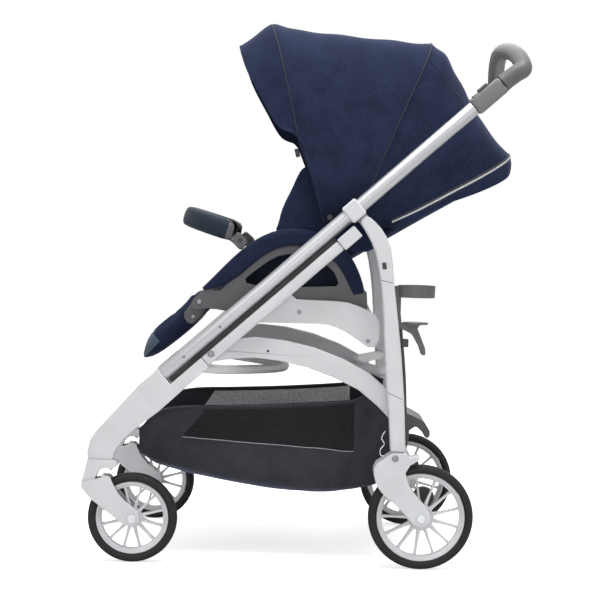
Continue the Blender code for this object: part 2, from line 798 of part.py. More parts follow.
def build_rear_fork(word, side):
    """The moulded fork that holds the rear wheel between two walls, with its rear spur."""
    x = REAR_AXLE_X
    z = REAR_RADIUS
    end = 0.0205
    outline = [
        (x - 0.0976, z + 0.1033, 0.008),
        (x - 0.080, z + 0.1147, 0.006),
        (x - 0.062, FORK_TOP_Z, 0.003),
        (x - 0.029, FORK_TOP_Z, 0.003),
        (x - 0.030, z + 0.1195, 0.004),
        (x - 0.003, z + 0.1230, 0.003),
        (x - 0.013, z + 0.1110, 0.006),
        (x - 0.0333, z + 0.101, 0.012),
        (x - 0.0326, z + 0.078, 0.02),
        (x - 0.016, z + 0.050, 0.02),
        (x + 0.010, z + 0.022, 0.02),
        (x + end, z + 0.006, 0.012),
        (x + end * 0.75, z - end * 0.80, 0.012),
        (x - end * 0.45, z - end, 0.012),
        (x - 0.027, z + 0.002, 0.015),
        (x - 0.051, z + 0.026, 0.02),
        (x - 0.077, z + 0.045, 0.02),
        (x - 0.094, z + 0.070, 0.02),
    ]
    half = TYRE_WIDTH / 2 + REAR_WHEEL_GAP
    fork = side_plate(
        [rounded(outline, 0.01)],
        side,
        TRACK_HALF - half - REAR_FORK_WALL,
        TRACK_HALF + half + REAR_FORK_WALL,
        0.003,
    )
    place(fork, f"rear_fork_{word}", "white_paint")
    apply_modifiers(fork)
    y = side * TRACK_HALF
    slot = cross_rod(x, z, y - half, y + half, REAR_RADIUS + 0.005, 22)
    boolean(fork, slot, "DIFFERENCE")
    bore = cross_rod(x, z, y - 0.05, y + 0.05, AXLE_RADIUS + RUN)
    boolean(fork, bore, "DIFFERENCE")


def axle_bolt(axle, side, out):
    """An axle with a round head past each wall of its fork, turned as one piece."""
    head = AXLE_RADIUS * 2.1
    end = out + TOUCH + AXLE_HEAD
    profile = [(0.0, end), (head, end), (head, out + TOUCH), (AXLE_RADIUS, out + TOUCH)]
    profile = [(r, -y) for r, y in profile] + profile[::-1]
    return turned(profile, axle.x, side * TRACK_HALF, axle.z, 12, closed=False)


def build_axles():
    out = TYRE_WIDTH / 2 + REAR_WHEEL_GAP + REAR_FORK_WALL
    for word, side in SIDES:
        bolts = (("rear", REAR_AXLE, out), ("front", FRONT_AXLE, FORK_PLATE_INSIDE + FORK_PLATE))
        for end, axle, reach in bolts:
            apply_modifiers(place(axle_bolt(axle, side, reach), f"{end}_axle_{word}", "steel"))


def build_rear_cross():
    inner = TRACK_HALF - TYRE_WIDTH / 2 - REAR_WHEEL_GAP - REAR_FORK_WALL
    cross = cross_rod(CROSS_TUBE_X, CROSS_TUBE_Z, -inner + TOUCH, inner - TOUCH, CROSS_TUBE_RADIUS)
    place(cross, "rear_cross_tube", "white_paint")
    end = TRACK_HALF - LEG_WIDTH / 2 - TOUCH
    x = leg_pivot().x - 0.012
    z = leg_pivot().z + 0.078
    bend = [
        (x, -end + 0.008, z),
        (x - 0.010, -end + 0.024, z),
        (x - 0.030, -end + REAR_BOW_BENDS[0], z),
        (x - 0.055, -end + REAR_BOW_BENDS[1], z),
        (x - 0.063, 0.0, z),
    ]
    route = bend + [(px, -py, pz) for px, py, pz in bend[-2::-1]]
    place(tube(route, BOW_RADIUS, [(x, -end, z), (x, end, z)], 2, 1), "rear_bow", "white_paint")
    x = frame_point(-0.03, 0.0).x - 0.002
    z = LOWER_PIVOT_Z - 0.030
    end = TRACK_HALF - CASTER_WIDTH / 2 - 0.0005 - TOUCH
    bend = [
        (x, -end + 0.006, z),
        (x + 0.010, -end + 0.018, z - 0.002),
        (x + 0.050, -end + FRONT_BOW_BENDS[0], z - 0.006),
        (x + 0.092, -end + FRONT_BOW_BENDS[1], z - 0.008),
        (x + 0.145, -end + FRONT_BOW_BENDS[2], z - 0.010),
        (x + 0.168, 0.0, z - 0.011),
    ]
    route = bend + [(px, -py, pz) for px, py, pz in bend[-2::-1]]
    place(tube(route, BOW_RADIUS, [(x, -end, z), (x, end, z)], 2, 1), "front_bow", "white_paint")


def build_brake_pedal():
    x = CROSS_TUBE_X
    z = CROSS_TUBE_Z
    wall = CROSS_TUBE_RADIUS + 0.006
    outline = [
        (x - wall, z - wall * 0.6, 0.008),
        (x - wall, z + wall * 0.8, 0.01),
        (x - 0.004, z + 0.074, 0.012),
        (x + 0.026, z + 0.066, 0.02),
        (x + 0.060, z + 0.046, 0.014),
        (x + 0.062, z + 0.020, 0.005),
        (x + 0.052, z + 0.018, 0.004),
        (x + 0.044, z + 0.038, 0.012),
        (x + 0.018, z + 0.046, 0.012),
        (x + wall, z + wall * 0.5, 0.01),
        (x + wall * 0.6, z - wall, 0.008),
        (x - wall * 0.5, z - wall, 0.008),
    ]
    hole = circle(x, z, CROSS_TUBE_RADIUS + RUN, 20)
    pedal = plate([rounded(outline, 0.01, 2), hole], -0.085, 0.085, 0.002)
    place(pedal, "brake_pedal", "grey_moulding")


# Front casters

def build_caster(word, side):
    y = side * TRACK_HALF
    top = HEAD_BOTTOM_Z - TOUCH * 2
    px = FORK_PIVOT_X
    pz = FORK_PIVOT_Z
    boss = 0.0115
    half = FORK_PLATE_INSIDE - 0.0007
    outline = [
        (SWIVEL_X - 0.0255, top, 0.001),
        (SWIVEL_X + 0.0255, top, 0.001),
        (SWIVEL_X + 0.038, top - 0.008, 0.006),
        (SWIVEL_X + 0.030, top - 0.017, 0.004),
        (px + 0.026, top - 0.019, 0.006),
        (px + 0.015, pz + 0.013, 0.006),
        (px + boss, pz - 0.003, 0.008),
        (px + boss * 0.3, pz - boss, 0.008),
        (px - boss * 0.8, pz - boss * 0.8, 0.008),
        (px - boss, pz + 0.005, 0.008),
        (px - 0.003, pz + 0.035, 0.01),
    ]
    body = side_plate([rounded(outline, 0.006)], side, TRACK_HALF - half, TRACK_HALF + half, 0.002)
    place(body, f"caster_body_{word}", "white_paint")
    apply_modifiers(body)
    stem = rod((SWIVEL_X, y, top - 0.006), (SWIVEL_X, y, top + STEM_LENGTH - 0.002), STEM_RADIUS, 16)
    boolean(body, stem, "UNION")
    pin_hole = cross_rod(px, pz, y - 0.05, y + 0.05, PIVOT_RADIUS - 0.0015 + RUN)
    boolean(body, pin_hole, "DIFFERENCE")
    buffer = cross_rod(SWIVEL_X + 0.0215, top - 0.0185, y - 0.012, y + 0.012, 0.0045, 10)
    boolean(body, buffer, "UNION")


def build_front_fork(word, side):
    y = side * TRACK_HALF
    px = FORK_PIVOT_X
    pz = FORK_PIVOT_Z
    x = FRONT_AXLE_X
    z = FRONT_RADIUS
    boss = 0.0115
    end = 0.0185
    outline = [
        (px - boss, pz + boss * 0.4, 0.008),
        (px - boss * 0.3, pz + boss, 0.008),
        (px + 0.030, pz + 0.018, 0.01),
        (x - 0.046, z + 0.087, 0.006),
        (x - 0.0376, z + 0.062, 0.02),
        (x - 0.018, z + 0.037, 0.02),
        (x + 0.006, z + 0.020, 0.012),
        (x + end, z + 0.006, 0.012),
        (x + end * 0.7, z - end * 0.8, 0.012),
        (x - end * 0.5, z - end, 0.012),
        (x - 0.0456, z + 0.010, 0.03),
        (x - 0.070, z + 0.028, 0.03),
        (px - 0.001, pz - 0.016, 0.012),
    ]
    whole = rounded(outline, 0.01)
    bore = circle(x, z, AXLE_RADIUS + RUN)
    near = FORK_PLATE_INSIDE
    far = FORK_PLATE_INSIDE + FORK_PLATE
    outer_wall = side_plate([whole, bore], side, TRACK_HALF + near, TRACK_HALF + far)
    inner_wall = side_plate([whole, bore], side, TRACK_HALF - far, TRACK_HALF - near)
    fork = place(outer_wall, f"front_fork_{word}", "white_paint")
    boolean(fork, inner_wall, "UNION")
    reach = FORK_PLATE_INSIDE + FORK_PLATE / 2
    pivot_pin = cross_rod(px, pz, y - reach, y + reach, PIVOT_RADIUS - 0.0015)
    boolean(fork, pivot_pin, "UNION")
    bridge = cross_rod(px + 0.033, pz + 0.0195, y - reach, y + reach, 0.0045)
    boolean(fork, bridge, "UNION")


# Seat

def build_carriers():
    pivot = frame_point(SEAT_PIVOT, 0.0)
    x = pivot.x
    z = pivot.z
    outline = [
        (x - 0.062, z - 0.064, 0.012),
        (x + 0.091, z - 0.0635, 0.05),
        (x + 0.127, z - 0.078, 0.04),
        (x + 0.180, z - 0.114, 0.012),
        (x + 0.195, z - 0.100, 0.01),
        (x + 0.195, z - 0.049, 0.012),
        (x + 0.175, z - 0.036, 0.02),
        (x + 0.130, z - 0.018, 0.03),
        (x + 0.016, z - 0.016, 0.01),
        (x + 0.010, z + 0.011, 0.006),
        (x - 0.010, z + 0.011, 0.006),
        (x - 0.016, z - 0.016, 0.006),
        (x - 0.060, z - 0.030, 0.012),
    ]
    hole = circle(x, z, PIVOT_RADIUS + RUN)
    inner = CARRIER_OUTER - CARRIER_THICKNESS
    shape = [rounded(outline, 0.01), hole]
    for word, side in SIDES:
        place(side_plate(shape, side, inner, CARRIER_OUTER, 0.003), f"seat_carrier_{word}", "white_paint")


def seat_side_outline():
    x = SEAT_REAR_X
    z = SEAT_REAR_Z
    return [
        (x - 0.315, z - 0.079, 0.010),
        (x - 0.283, z - 0.048, 0.006),
        (x - 0.259, z - 0.057, 0.004),
        (x - 0.198, z - 0.003, 0.02),
        (x - 0.138, z + 0.042, 0.03),
        (x - 0.096, z + 0.046, 0.03),
        (x - 0.030, z + 0.028, 0.03),
        (x + 0.006, z - 0.006, 0.02),
        (x + 0.014, z - 0.044, 0.004),
        (x + 0.041, z - 0.045, 0.006),
        (x + 0.044, z - 0.090, 0.004),
        (x - 0.060, z - 0.092, 0.02),
        (x - 0.240, z - 0.097, 0.02),
        (x - 0.270, z - 0.091, 0.01),
        (x - 0.312, z - 0.096, 0.006),
    ]


def seat_side_window():
    x = SEAT_REAR_X
    z = SEAT_REAR_Z
    return [
        (x - 0.212, z - 0.036, 0.01),
        (x - 0.183, z - 0.011, 0.02),
        (x - 0.140, z + 0.020, 0.02),
        (x - 0.096, z + 0.024, 0.02),
        (x - 0.055, z + 0.012, 0.02),
        (x - 0.024, z - 0.012, 0.015),
        (x - 0.015, z - 0.040, 0.006),
        (x - 0.160, z - 0.048, 0.02),
    ]


def build_seat():
    for word, side in SIDES:
        frame = side_plate(
            [rounded(seat_side_outline(), 0.01, 2), rounded(seat_side_window(), 0.01, 2)],
            side,
            SEAT_SIDE_OUTER - SEAT_SIDE_THICKNESS,
            SEAT_SIDE_OUTER,
            0.002,
        )
        place(frame, f"seat_side_{word}", "grey_moulding")
        pad = place(armrest_pad(side), f"armrest_pad_{word}", "navy_cloth")
        apply_modifiers(pad)
        boolean(pad, side_wing(side), "UNION")
        inner = SEAT_SIDE_OUTER - SEAT_SIDE_THICKNESS - TOUCH
        arch = grown(rounded(seat_side_outline(), 0.01), TOUCH)
        boolean(pad, side_plate([arch], side, inner, SEAT_SIDE_OUTER + TOUCH), "DIFFERENCE")
    build_seat_cushion()


def side_wing(side):
    """The cloth wing that closes the corner between the armrest and the hood."""
    x = SEAT_REAR_X
    z = SEAT_REAR_Z
    outline = [
        (x - 0.139, z + 0.085, 0.01),
        (x - 0.123, z + 0.140, 0.03),
        (x - 0.096, z + 0.196, 0.004),
        (x - 0.062, z + 0.142, 0.02),
        (x - 0.046, z + 0.106, 0.004),
        (x - 0.060, z + 0.064, 0.004),
        (x - 0.120, z + 0.066, 0.004),
    ]
    return side_plate([rounded(outline, 0.01)], side, WING_OUTER - WING_THICKNESS, WING_OUTER, 0.0)


def armrest_pad(side):
    """The padded cover along the top of the seat side."""
    x = SEAT_REAR_X
    z = SEAT_REAR_Z
    inner = [
        (-0.248, -0.051),
        (-0.198, -0.006),
        (-0.138, 0.038),
        (-0.096, 0.042),
        (-0.031, 0.024),
        (0.003, -0.008),
        (0.010, -0.029),
    ]
    widths = [0.034, 0.040, 0.041, 0.038, 0.041, 0.038, 0.030]
    spine = []
    for i, (px, pz) in enumerate(inner):
        ahead = inner[min(i + 1, len(inner) - 1)]
        behind = inner[max(i - 1, 0)]
        heading = Vector((ahead[0] - behind[0], ahead[1] - behind[1])).normalized()
        spine.append((x + px - heading.y * (widths[i] / 2), z + pz + heading.x * (widths[i] / 2), widths[i]))
    outer = SEAT_SIDE_OUTER + ARMREST_LIP
    return side_plate([strip(spine)], side, outer - ARMREST_WIDTH, outer, 0.009)


def cushion(rows, columns, size, crown, channels, taper, stand):
    """A padded form from a coarse cage, softened and then fitted to its length, half width and
    thickness: crown on top, sides drawn in, and sewn channels across it."""
    length, half_width, thickness = size
    bm = bmesh.new()
    grid = {}
    for layer in (0, 1):
        for i in range(rows + 1):
            f = i / rows
            for j in range(columns + 1):
                g = 2 * j / columns - 1
                swell = (1 - g**4) * (1 - (2 * f - 1) ** 6)
                groove = 0.35 if i in channels else 1.0
                rise = thickness + crown * swell * groove if layer else -crown * 0.25 * swell
                inset = 1.0 if layer else 0.97
                point = (f * length, half_width * taper(f) * g * inset, rise)
                grid[layer, i, j] = bm.verts.new(point)
    for i in range(rows):
        for j in range(columns):
            bm.faces.new((grid[1, i, j], grid[1, i + 1, j], grid[1, i + 1, j + 1], grid[1, i, j + 1]))
            bm.faces.new((grid[0, i, j], grid[0, i, j + 1], grid[0, i + 1, j + 1], grid[0, i + 1, j]))
    rim = [(i, 0) for i in range(rows)] + [(rows, j) for j in range(columns)]
    rim += [(i, columns) for i in range(rows, 0, -1)] + [(0, j) for j in range(columns, 0, -1)]
    for a, b in zip(rim, rim[1:] + rim[:1]):
        bm.faces.new((grid[0, *a], grid[0, *b], grid[1, *b], grid[1, *a]))
    obj = mesh_object(bm, math.radians(80.0))
    bpy.context.scene.collection.objects.link(obj)
    soft = obj.modifiers.new("soft", "SUBSURF")
    soft.levels = 1
    soft.render_levels = 1
    apply_modifiers(obj)
    bpy.context.scene.collection.objects.unlink(obj)
    xs = [v.co.x for v in obj.data.vertices]
    ys = [v.co.y for v in obj.data.vertices]
    fit = Matrix.Diagonal((length / (max(xs) - min(xs)), half_width / max(ys), 1.0, 1.0))
    obj.data.transform(stand @ fit @ Matrix.Translation((-min(xs), 0.0, 0.0)))
    return obj


def build_seat_cushion():
    half = SEAT_SIDE_OUTER - SEAT_SIDE_THICKNESS - TOUCH
    stand = Matrix.Translation((SEAT_REAR_X - 0.274, 0.0, SEAT_REAR_Z - 0.092))
    stand = stand @ Matrix.Rotation(math.radians(1.5), 4, "Y")
    size = (SEAT_LENGTH, half, CUSHION_THICKNESS)
    seat = cushion(6, 4, size, 0.010, (2, 4), lambda f: 1.0, stand)
    place(seat, "seat_cushion", "navy_cloth")


def build_backrest():
    """A padded back panel, narrow between the armrests and as wide as the hood's rear edge above."""
    low = (SEAT_SIDE_OUTER + ARMREST_LIP - ARMREST_WIDTH - 0.003) / BACK_HALF_WIDTH
    base, top = REAR_HOOPS[-1]
    rise_start = 0.25
    rise_length = 0.13

    def taper(f):
        x = RECLINE_X + (f * BACK_LENGTH - BACK_OVERHANG) * math.cos(RECLINE_ANGLE)
        along = min(max((x - base[0]) / (top[0] - base[0]), 0.0), 1.0)
        hood = (1.0 - along**HOOD_SQUARENESS) ** (1.0 / HOOD_SQUARENESS)
        rise = min(max((f - rise_start) / rise_length, 0.0), 1.0)
        return (low + (1.0 - low) * rise * rise * (3 - 2 * rise)) * hood

    stand = (
        Matrix.Translation((RECLINE_X, 0.0, RECLINE_Z))
        @ Matrix.Rotation(-RECLINE_ANGLE, 4, "Y")
        @ Matrix.Translation((-BACK_OVERHANG, 0.0, BACK_RISE - BACK_THICKNESS / 2))
    )
    back = cushion(8, 4, (BACK_LENGTH, BACK_HALF_WIDTH, BACK_THICKNESS), 0.010, (4, 6), taper, stand)
    place(back, "backrest_pad", "navy_cloth")
    half = SEAT_SIDE_OUTER - SEAT_SIDE_THICKNESS - TOUCH
    boolean(back, cross_rod(RECLINE_X, RECLINE_Z, -half, half, RECLINE_PIN_RADIUS, 8), "UNION")


def build_legrest():
    stand = (
        Matrix.Translation((LEGREST_X, 0.0, LEGREST_Z))
        @ Matrix.Rotation(math.pi - LEGREST_SLOPE, 4, "Y")
        @ Matrix.Rotation(math.pi, 4, "X")
        @ Matrix.Translation((-0.004, 0.0, -0.016))
    )
    size = (LEGREST_LENGTH, LEGREST_HALF_WIDTH, LEGREST_THICKNESS)
    pad = cushion(5, 4, size, 0.007, (3,), lambda f: 1.0 - 0.12 * f * f, stand)
    place(pad, "legrest_pad", "navy_cloth")
    x = LEGREST_X
    z = LEGREST_Z
    for word, side in SIDES:
        outline = [
            (x - 0.010, z + 0.010, 0.008),
            (x + 0.012, z + 0.008, 0.008),
            (x + 0.013, z - 0.014, 0.006),
            (x - 0.002, z - 0.040, 0.006),
            (x - 0.020, z - 0.049, 0.006),
            (x - 0.033, z - 0.028, 0.006),
            (x - 0.016, z - 0.004, 0.006),
        ]
        outer = SEAT_SIDE_OUTER - SEAT_SIDE_THICKNESS - RUN
        bracket = side_plate([rounded(outline, 0.005)], side, LEGREST_HALF_WIDTH + TOUCH, outer, 0.002)
        place(bracket, f"legrest_bracket_{word}", "grey_moulding")


def build_bumper():
    """The padded bar in front of the child, a tall flat section bent round in plan."""
    half = SEAT_SIDE_OUTER + ARMREST_LIP
    reach = BUMPER_REACH
    plan = [
        (-0.012, half),
        (-reach * 0.36, half),
        (-reach * 0.64, half * 0.92),
        (-reach * 0.88, half * 0.66),
        (-reach * 0.98, half * 0.30),
        (-reach, 0.0),
    ]
    rise = math.radians(17.0)
    route = [Vector((x, y, 0.0)) for x, y in plan] + [Vector((x, -y, 0.0)) for x, y in plan[-2::-1]]
    route = spline(route, 2)
    bm = bmesh.new()
    rings = []
    section = circle(0.0, 0.0, 1.0, 10)
    for i, point in enumerate(route):
        heading = (route[min(i + 1, len(route) - 1)] - route[max(i - 1, 0)]).normalized()
        outward = Vector((heading.y, -heading.x, 0.0))
        ring = []
        for c, s in section:
            flat = math.copysign(abs(c) ** 0.7, c) * BUMPER_DEPTH / 2
            tall = math.copysign(abs(s) ** 0.7, s) * BUMPER_HEIGHT / 2
            ring.append(bm.verts.new(point + outward * flat + Vector((0.0, 0.0, tall))))
        rings.append(ring)
    for a, b in zip(rings, rings[1:]):
        for k in range(len(section)):
            bm.faces.new((a[k], a[(k + 1) % len(section)], b[(k + 1) % len(section)], b[k]))
    bm.faces.new(rings[0][::-1])
    bm.faces.new(rings[-1])
    bm.transform(Matrix.Translation((BUMPER_X, 0.0, BUMPER_Z + 0.012)) @ Matrix.Rotation(rise, 4, "Y"))
    bar = place(mesh_object(bm, math.radians(60.0)), "bumper_bar", "navy_leather")
    x = BUMPER_X
    z = BUMPER_Z
    low = half + RUN
    for word, side in SIDES:
        outline = [
            (x - 0.0205, z + 0.001, 0.002),
            (x - 0.003, z + 0.020, 0.003),
            (x + 0.022, z - 0.002, 0.004),
            (x + 0.003, z - 0.024, 0.003),
        ]
        boolean(bar, side_plate([rounded(outline, 0.003)], side, low, low + BUMPER_ARM), "UNION")


# Hood

def hood_hoop(base, top, count=14):
    """A hoop from the left base over the top to the right base, flat-topped with round shoulders."""
    points = []
    power = 2.0 / HOOD_SQUARENESS
    for k in range(count + 1):
        turn = math.pi * k / count
        c = math.cos(turn)
        s = math.sin(turn)
        y = -math.copysign(abs(c) ** power, c) * HOOD_HALF_WIDTH
        q = max(s, 0.0) ** power
        points.append(Vector((base[0] + (top[0] - base[0]) * q, y, base[1] + (top[1] - base[1]) * q)))
    return points


def shell(rows, thickness, node, material, cap_ends=False):
    """A cloth shell: a surface through rows of points, thickened inwards."""
    bm = bmesh.new()
    grid = [[bm.verts.new(p) for p in row] for row in rows]
    for a, b in zip(grid, grid[1:]):
        for k in range(len(a) - 1):
            bm.faces.new((a[k], a[k + 1], b[k + 1], b[k]))
    if cap_ends:
        bm.faces.new(grid[0][::-1])
        bm.faces.new(grid[-1])
    obj = mesh_object(bm, math.radians(50.0))
    place(obj, node, material)
    wall = obj.modifiers.new("cloth", "SOLIDIFY")
    wall.thickness = thickness
    wall.offset = -1.0
    wall.use_even_offset = True
    return obj


def build_hood():
    shell([hood_hoop(*h) for h in FRONT_HOOPS], HOOD_CLOTH, "hood_front", "navy_cloth")
    shell([hood_hoop(*h) for h in REAR_HOOPS], HOOD_CLOTH, "hood_rear", "navy_cloth")


# Basket

def build_basket():
    rows = []
    for x, top, bottom, width in BASKET_STATIONS:
        row = []
        count = 10
        power = 2.0 / BASKET_SQUARENESS
        for k in range(count + 1):
            turn = math.pi * k / count
            c = math.cos(turn)
            s = math.sin(turn)
            y = -math.copysign(abs(c) ** power, c) * BASKET_HALF_WIDTH * width
            draw = 1.0 - 0.10 * max(s, 0.0)
            row.append(Vector((x, y * draw, top + (bottom - top) * max(s, 0.0) ** power)))
        rows.append(row)
    basket = shell(rows[::-1], BASKET_CLOTH, "basket", "basket_cloth", True)
    apply_modifiers(basket)
    front = TRACK_HALF - CASTER_WIDTH / 2 - TOUCH
    rear = TRACK_HALF - LEG_WIDTH / 2 - TOUCH
    tabs = (
        (BASKET_FRONT_TAB_X, BASKET_FRONT_TAB_Z, front),
        (BASKET_STATIONS[-1][0], BASKET_REAR_TAB_Z, rear),
    )
    for word, side in SIDES:
        for x, z, reach in tabs:
            bm = bmesh.new()
            bmesh.ops.create_cube(bm, size=1.0)
            size = (BASKET_TAB_WIDTH, reach - BASKET_HALF_WIDTH + BASKET_TAB_HOLD, BASKET_CLOTH)
            bmesh.ops.scale(bm, vec=size, verts=bm.verts)
            middle = side * (reach + BASKET_HALF_WIDTH - BASKET_TAB_HOLD) / 2
            bmesh.ops.translate(bm, vec=(x, middle, z), verts=bm.verts)
            boolean(basket, mesh_object(bm), "UNION")


# Cup holder

def build_cup_holder():
    y = CUP_INSET - TRACK_HALF
    top = CUP_RIM_Z
    x = rear_edge(top - 0.030) + CUP_RADIUS + CUP_GAP
    ring = turned(
        [
            (CUP_RADIUS, top),
            (CUP_RADIUS - 0.001, top - 0.024),
            (CUP_RADIUS - CUP_WALL - 0.001, top - 0.024),
            (CUP_RADIUS - CUP_WALL, top),
        ],
        x,
        y,
        0.0,
        18,
        False,
    )
    place(ring, "cup_holder", "grey_moulding")
    apply_modifiers(ring)
    back = x - CUP_RADIUS
    spine = [(rear_edge(z) + TOUCH * 2, z, 0.002) for z in (top - 0.080, top - 0.055, top - 0.030, top - 0.002)]
    spine += [
        (back + 0.006, top - 0.001, 0.004),
        (back + 0.006, top - 0.0750, 0.003),
        (back + 0.052, top - 0.0755, 0.001),
        (back + 0.052, top - 0.078, 0.001),
        (back + 0.038, top - 0.080, 0.008),
        (back + 0.058, top - 0.128, 0.02),
        (back + 0.057, top - 0.139, 0.002),
        (back + 0.049, top - 0.138, 0.002),
        (back + 0.040, top - 0.110, 0.02),
        (back + 0.022, top - 0.090, 0.012),
        (back + 0.004, top - 0.088, 0.006),
    ]
    bracket = plate([rounded(spine, 0.004, 2)], y - 0.010, y + 0.010, 0.001)
    boolean(ring, bracket, "UNION")
    disc = rod((x - 0.001, y, top - 0.0775), (x - 0.001, y, top - 0.0735), CUP_RADIUS * 0.70, 14)
    boolean(ring, disc, "UNION")


# Joints

def put_origins_on_joints():
    recline = Vector((RECLINE_X, 0.0, RECLINE_Z))
    set_origins(leg_pivot(), "rear_bow", "rear_cross_tube", "cup_holder")
    set_origins(Vector((CROSS_TUBE_X, 0.0, CROSS_TUBE_Z)), "brake_pedal")
    set_origins(frame_point(SEAT_PIVOT, 0.0), "seat_cushion")
    set_origins(recline, "backrest_pad", "hood_rear")
    set_origins(Vector((HOOD_PIVOT_X, 0.0, HOOD_PIVOT_Z)), "hood_front")
    set_origins(Vector((LEGREST_X, 0.0, LEGREST_Z)), "legrest_pad")
    set_origins(Vector((BUMPER_X, 0.0, BUMPER_Z)), "bumper_bar")
    for word, side in SIDES:
        y = side * TRACK_HALF
        set_origins(LOWER_PIVOT, f"lower_link_{word}")
        set_origins(leg_pivot(), f"rear_leg_{word}", f"rear_fork_{word}", f"rear_axle_{word}")
        set_origins(frame_point(UPPER_PIVOT, 0.0), f"tube_sleeve_{word}")
        set_origins(frame_point(SEAT_PIVOT, 0.0), f"seat_carrier_{word}", f"seat_side_{word}", f"armrest_pad_{word}")
        set_origins(Vector((LEGREST_X, 0.0, LEGREST_Z)), f"legrest_bracket_{word}")
        set_origins(Vector((SWIVEL_X, y, HEAD_BOTTOM_Z)), f"caster_body_{word}")
        set_origins(Vector((FORK_PIVOT_X, y, FORK_PIVOT_Z)), f"front_fork_{word}", f"front_axle_{word}")
        set_origins(frame_point(PUSH_TUBE_END + 0.038, PUSH_TUBE_RISE + 0.0165, y), f"fold_button_{word}")


def build():
    clear_scene()
    make_materials()
    build_wheels()
    for word, side in SIDES:
        build_front_leg(word, side)
        build_frame_tubes(word, side)
        build_seal(word, side)
        build_sleeve(word, side)
        build_link(word, side)
        build_rear_leg(word, side)
        build_rear_fork(word, side)
        build_caster(word, side)
        build_front_fork(word, side)
    build_handle()
    build_axles()
    build_rear_cross()
    build_brake_pedal()
    build_carriers()
    build_seat()
    build_backrest()
    build_legrest()
    build_bumper()
    build_hood()
    build_basket()
    build_cup_holder()
    put_origins_on_joints()
    bpy.context.view_layer.update()


build()
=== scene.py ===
# Navy pushchair with a folding chassis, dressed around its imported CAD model
import json
import math

import bmesh
import bpy
from mathutils import Matrix, Vector, noise


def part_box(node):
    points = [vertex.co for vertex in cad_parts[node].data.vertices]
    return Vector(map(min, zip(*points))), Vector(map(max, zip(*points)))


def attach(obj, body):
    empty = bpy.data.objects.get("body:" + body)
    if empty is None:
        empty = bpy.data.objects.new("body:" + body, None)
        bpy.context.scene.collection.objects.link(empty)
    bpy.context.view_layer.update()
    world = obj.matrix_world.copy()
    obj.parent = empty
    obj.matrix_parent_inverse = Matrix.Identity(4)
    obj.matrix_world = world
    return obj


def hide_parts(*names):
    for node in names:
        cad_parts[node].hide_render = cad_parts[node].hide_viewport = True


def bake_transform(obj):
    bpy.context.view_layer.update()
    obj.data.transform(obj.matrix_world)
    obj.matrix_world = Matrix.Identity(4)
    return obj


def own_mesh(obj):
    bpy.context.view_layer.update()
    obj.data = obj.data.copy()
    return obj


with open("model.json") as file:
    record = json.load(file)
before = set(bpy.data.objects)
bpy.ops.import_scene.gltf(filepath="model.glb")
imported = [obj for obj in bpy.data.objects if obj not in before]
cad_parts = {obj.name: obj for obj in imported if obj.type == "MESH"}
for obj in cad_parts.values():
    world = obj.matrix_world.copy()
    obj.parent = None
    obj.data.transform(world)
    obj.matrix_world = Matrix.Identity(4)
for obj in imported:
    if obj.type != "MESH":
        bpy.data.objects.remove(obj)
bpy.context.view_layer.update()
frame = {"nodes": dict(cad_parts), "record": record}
scene = bpy.context.scene
scene.view_settings.view_transform = "Standard"
cadNodes = frame["nodes"]
sides = (("left", -1.0), ("right", 1.0))

# the chassis in the side view: lower pivot, slope of the tubes, distance of the wheels
chassis = {
    "pivot": Vector((-0.1825, 0.0, 0.4205)),
    "slope": math.radians(42.05),
    "trackHalf": 0.265,
    "rearAxle": Vector((0.243, 0.0, 0.105)),
    "frontAxle": Vector((-0.3325, 0.0, 0.0895)),
}
alongTube = Vector((math.cos(chassis["slope"]), 0.0, math.sin(chassis["slope"])))
acrossTube = Vector((-math.sin(chassis["slope"]), 0.0, math.cos(chassis["slope"])))

cameraSettings = {
    "lens": 104.7, "sensor": 36.0, "place": (0.0002, -3.7352, 0.6762), "down": 2.373, "yaw": -0.1453, "roll": 1.48,
}


# the camera at the photograph's place and angle
def addCamera():
    data = bpy.data.cameras.new("photoCamera")
    data.lens = cameraSettings["lens"]
    data.sensor_width = cameraSettings["sensor"]
    camera = bpy.data.objects.new("photoCamera", data)
    scene.collection.objects.link(camera)
    down, yaw, roll = (math.radians(cameraSettings[k]) for k in ("down", "yaw", "roll"))
    look = Vector((math.sin(yaw) * math.cos(down), math.cos(yaw) * math.cos(down), -math.sin(down)))
    level = Vector((math.cos(yaw), -math.sin(yaw), 0.0))
    up = level.cross(look)
    right = level * math.cos(roll) + up * math.sin(roll)
    up = up * math.cos(roll) - level * math.sin(roll)
    turn = Matrix((right, up, -look)).transposed().to_4x4()
    camera.matrix_world = Matrix.Translation(cameraSettings["place"]) @ turn
    scene.camera = camera


# a node of a shader tree, its sockets joined to other sockets or set to values
def addNode(tree, kind, inputs=None, **values):
    made = tree.nodes.new("ShaderNode" + kind)
    for key, value in values.items():
        setattr(made, key, value)
    for key, value in (inputs or {}).items():
        if isinstance(value, bpy.types.NodeSocket):
            tree.links.new(value, made.inputs[key])
        else:
            made.inputs[key].default_value = value
    return made


lampSettings = {
    "top": {"place": (0.1, -0.5, 3.2), "aim": (0.0, 0.0, 0.6), "size": 2.4, "power": 112},
    "key": {"place": (-2.4, -2.6, 2.4), "aim": (0.0, 0.0, 0.6), "size": 2.0, "power": 20},
    "front": {"place": (0.0, -3.6, 0.45), "aim": (0.0, 0.0, 0.45), "size": 1.6, "power": 16},
    "fill": {"place": (2.8, -2.2, 1.6), "aim": (0.1, 0.0, 0.5), "size": 2.2, "power": 20},
    "rear": {"place": (0.6, 3.0, 2.4), "aim": (0.0, 0.0, 0.6), "size": 2.4, "power": 26},
}
studioSettings = {"world": 0.42, "floor": 0.86, "floorGlow": 0.64, "floorSize": 30.0}


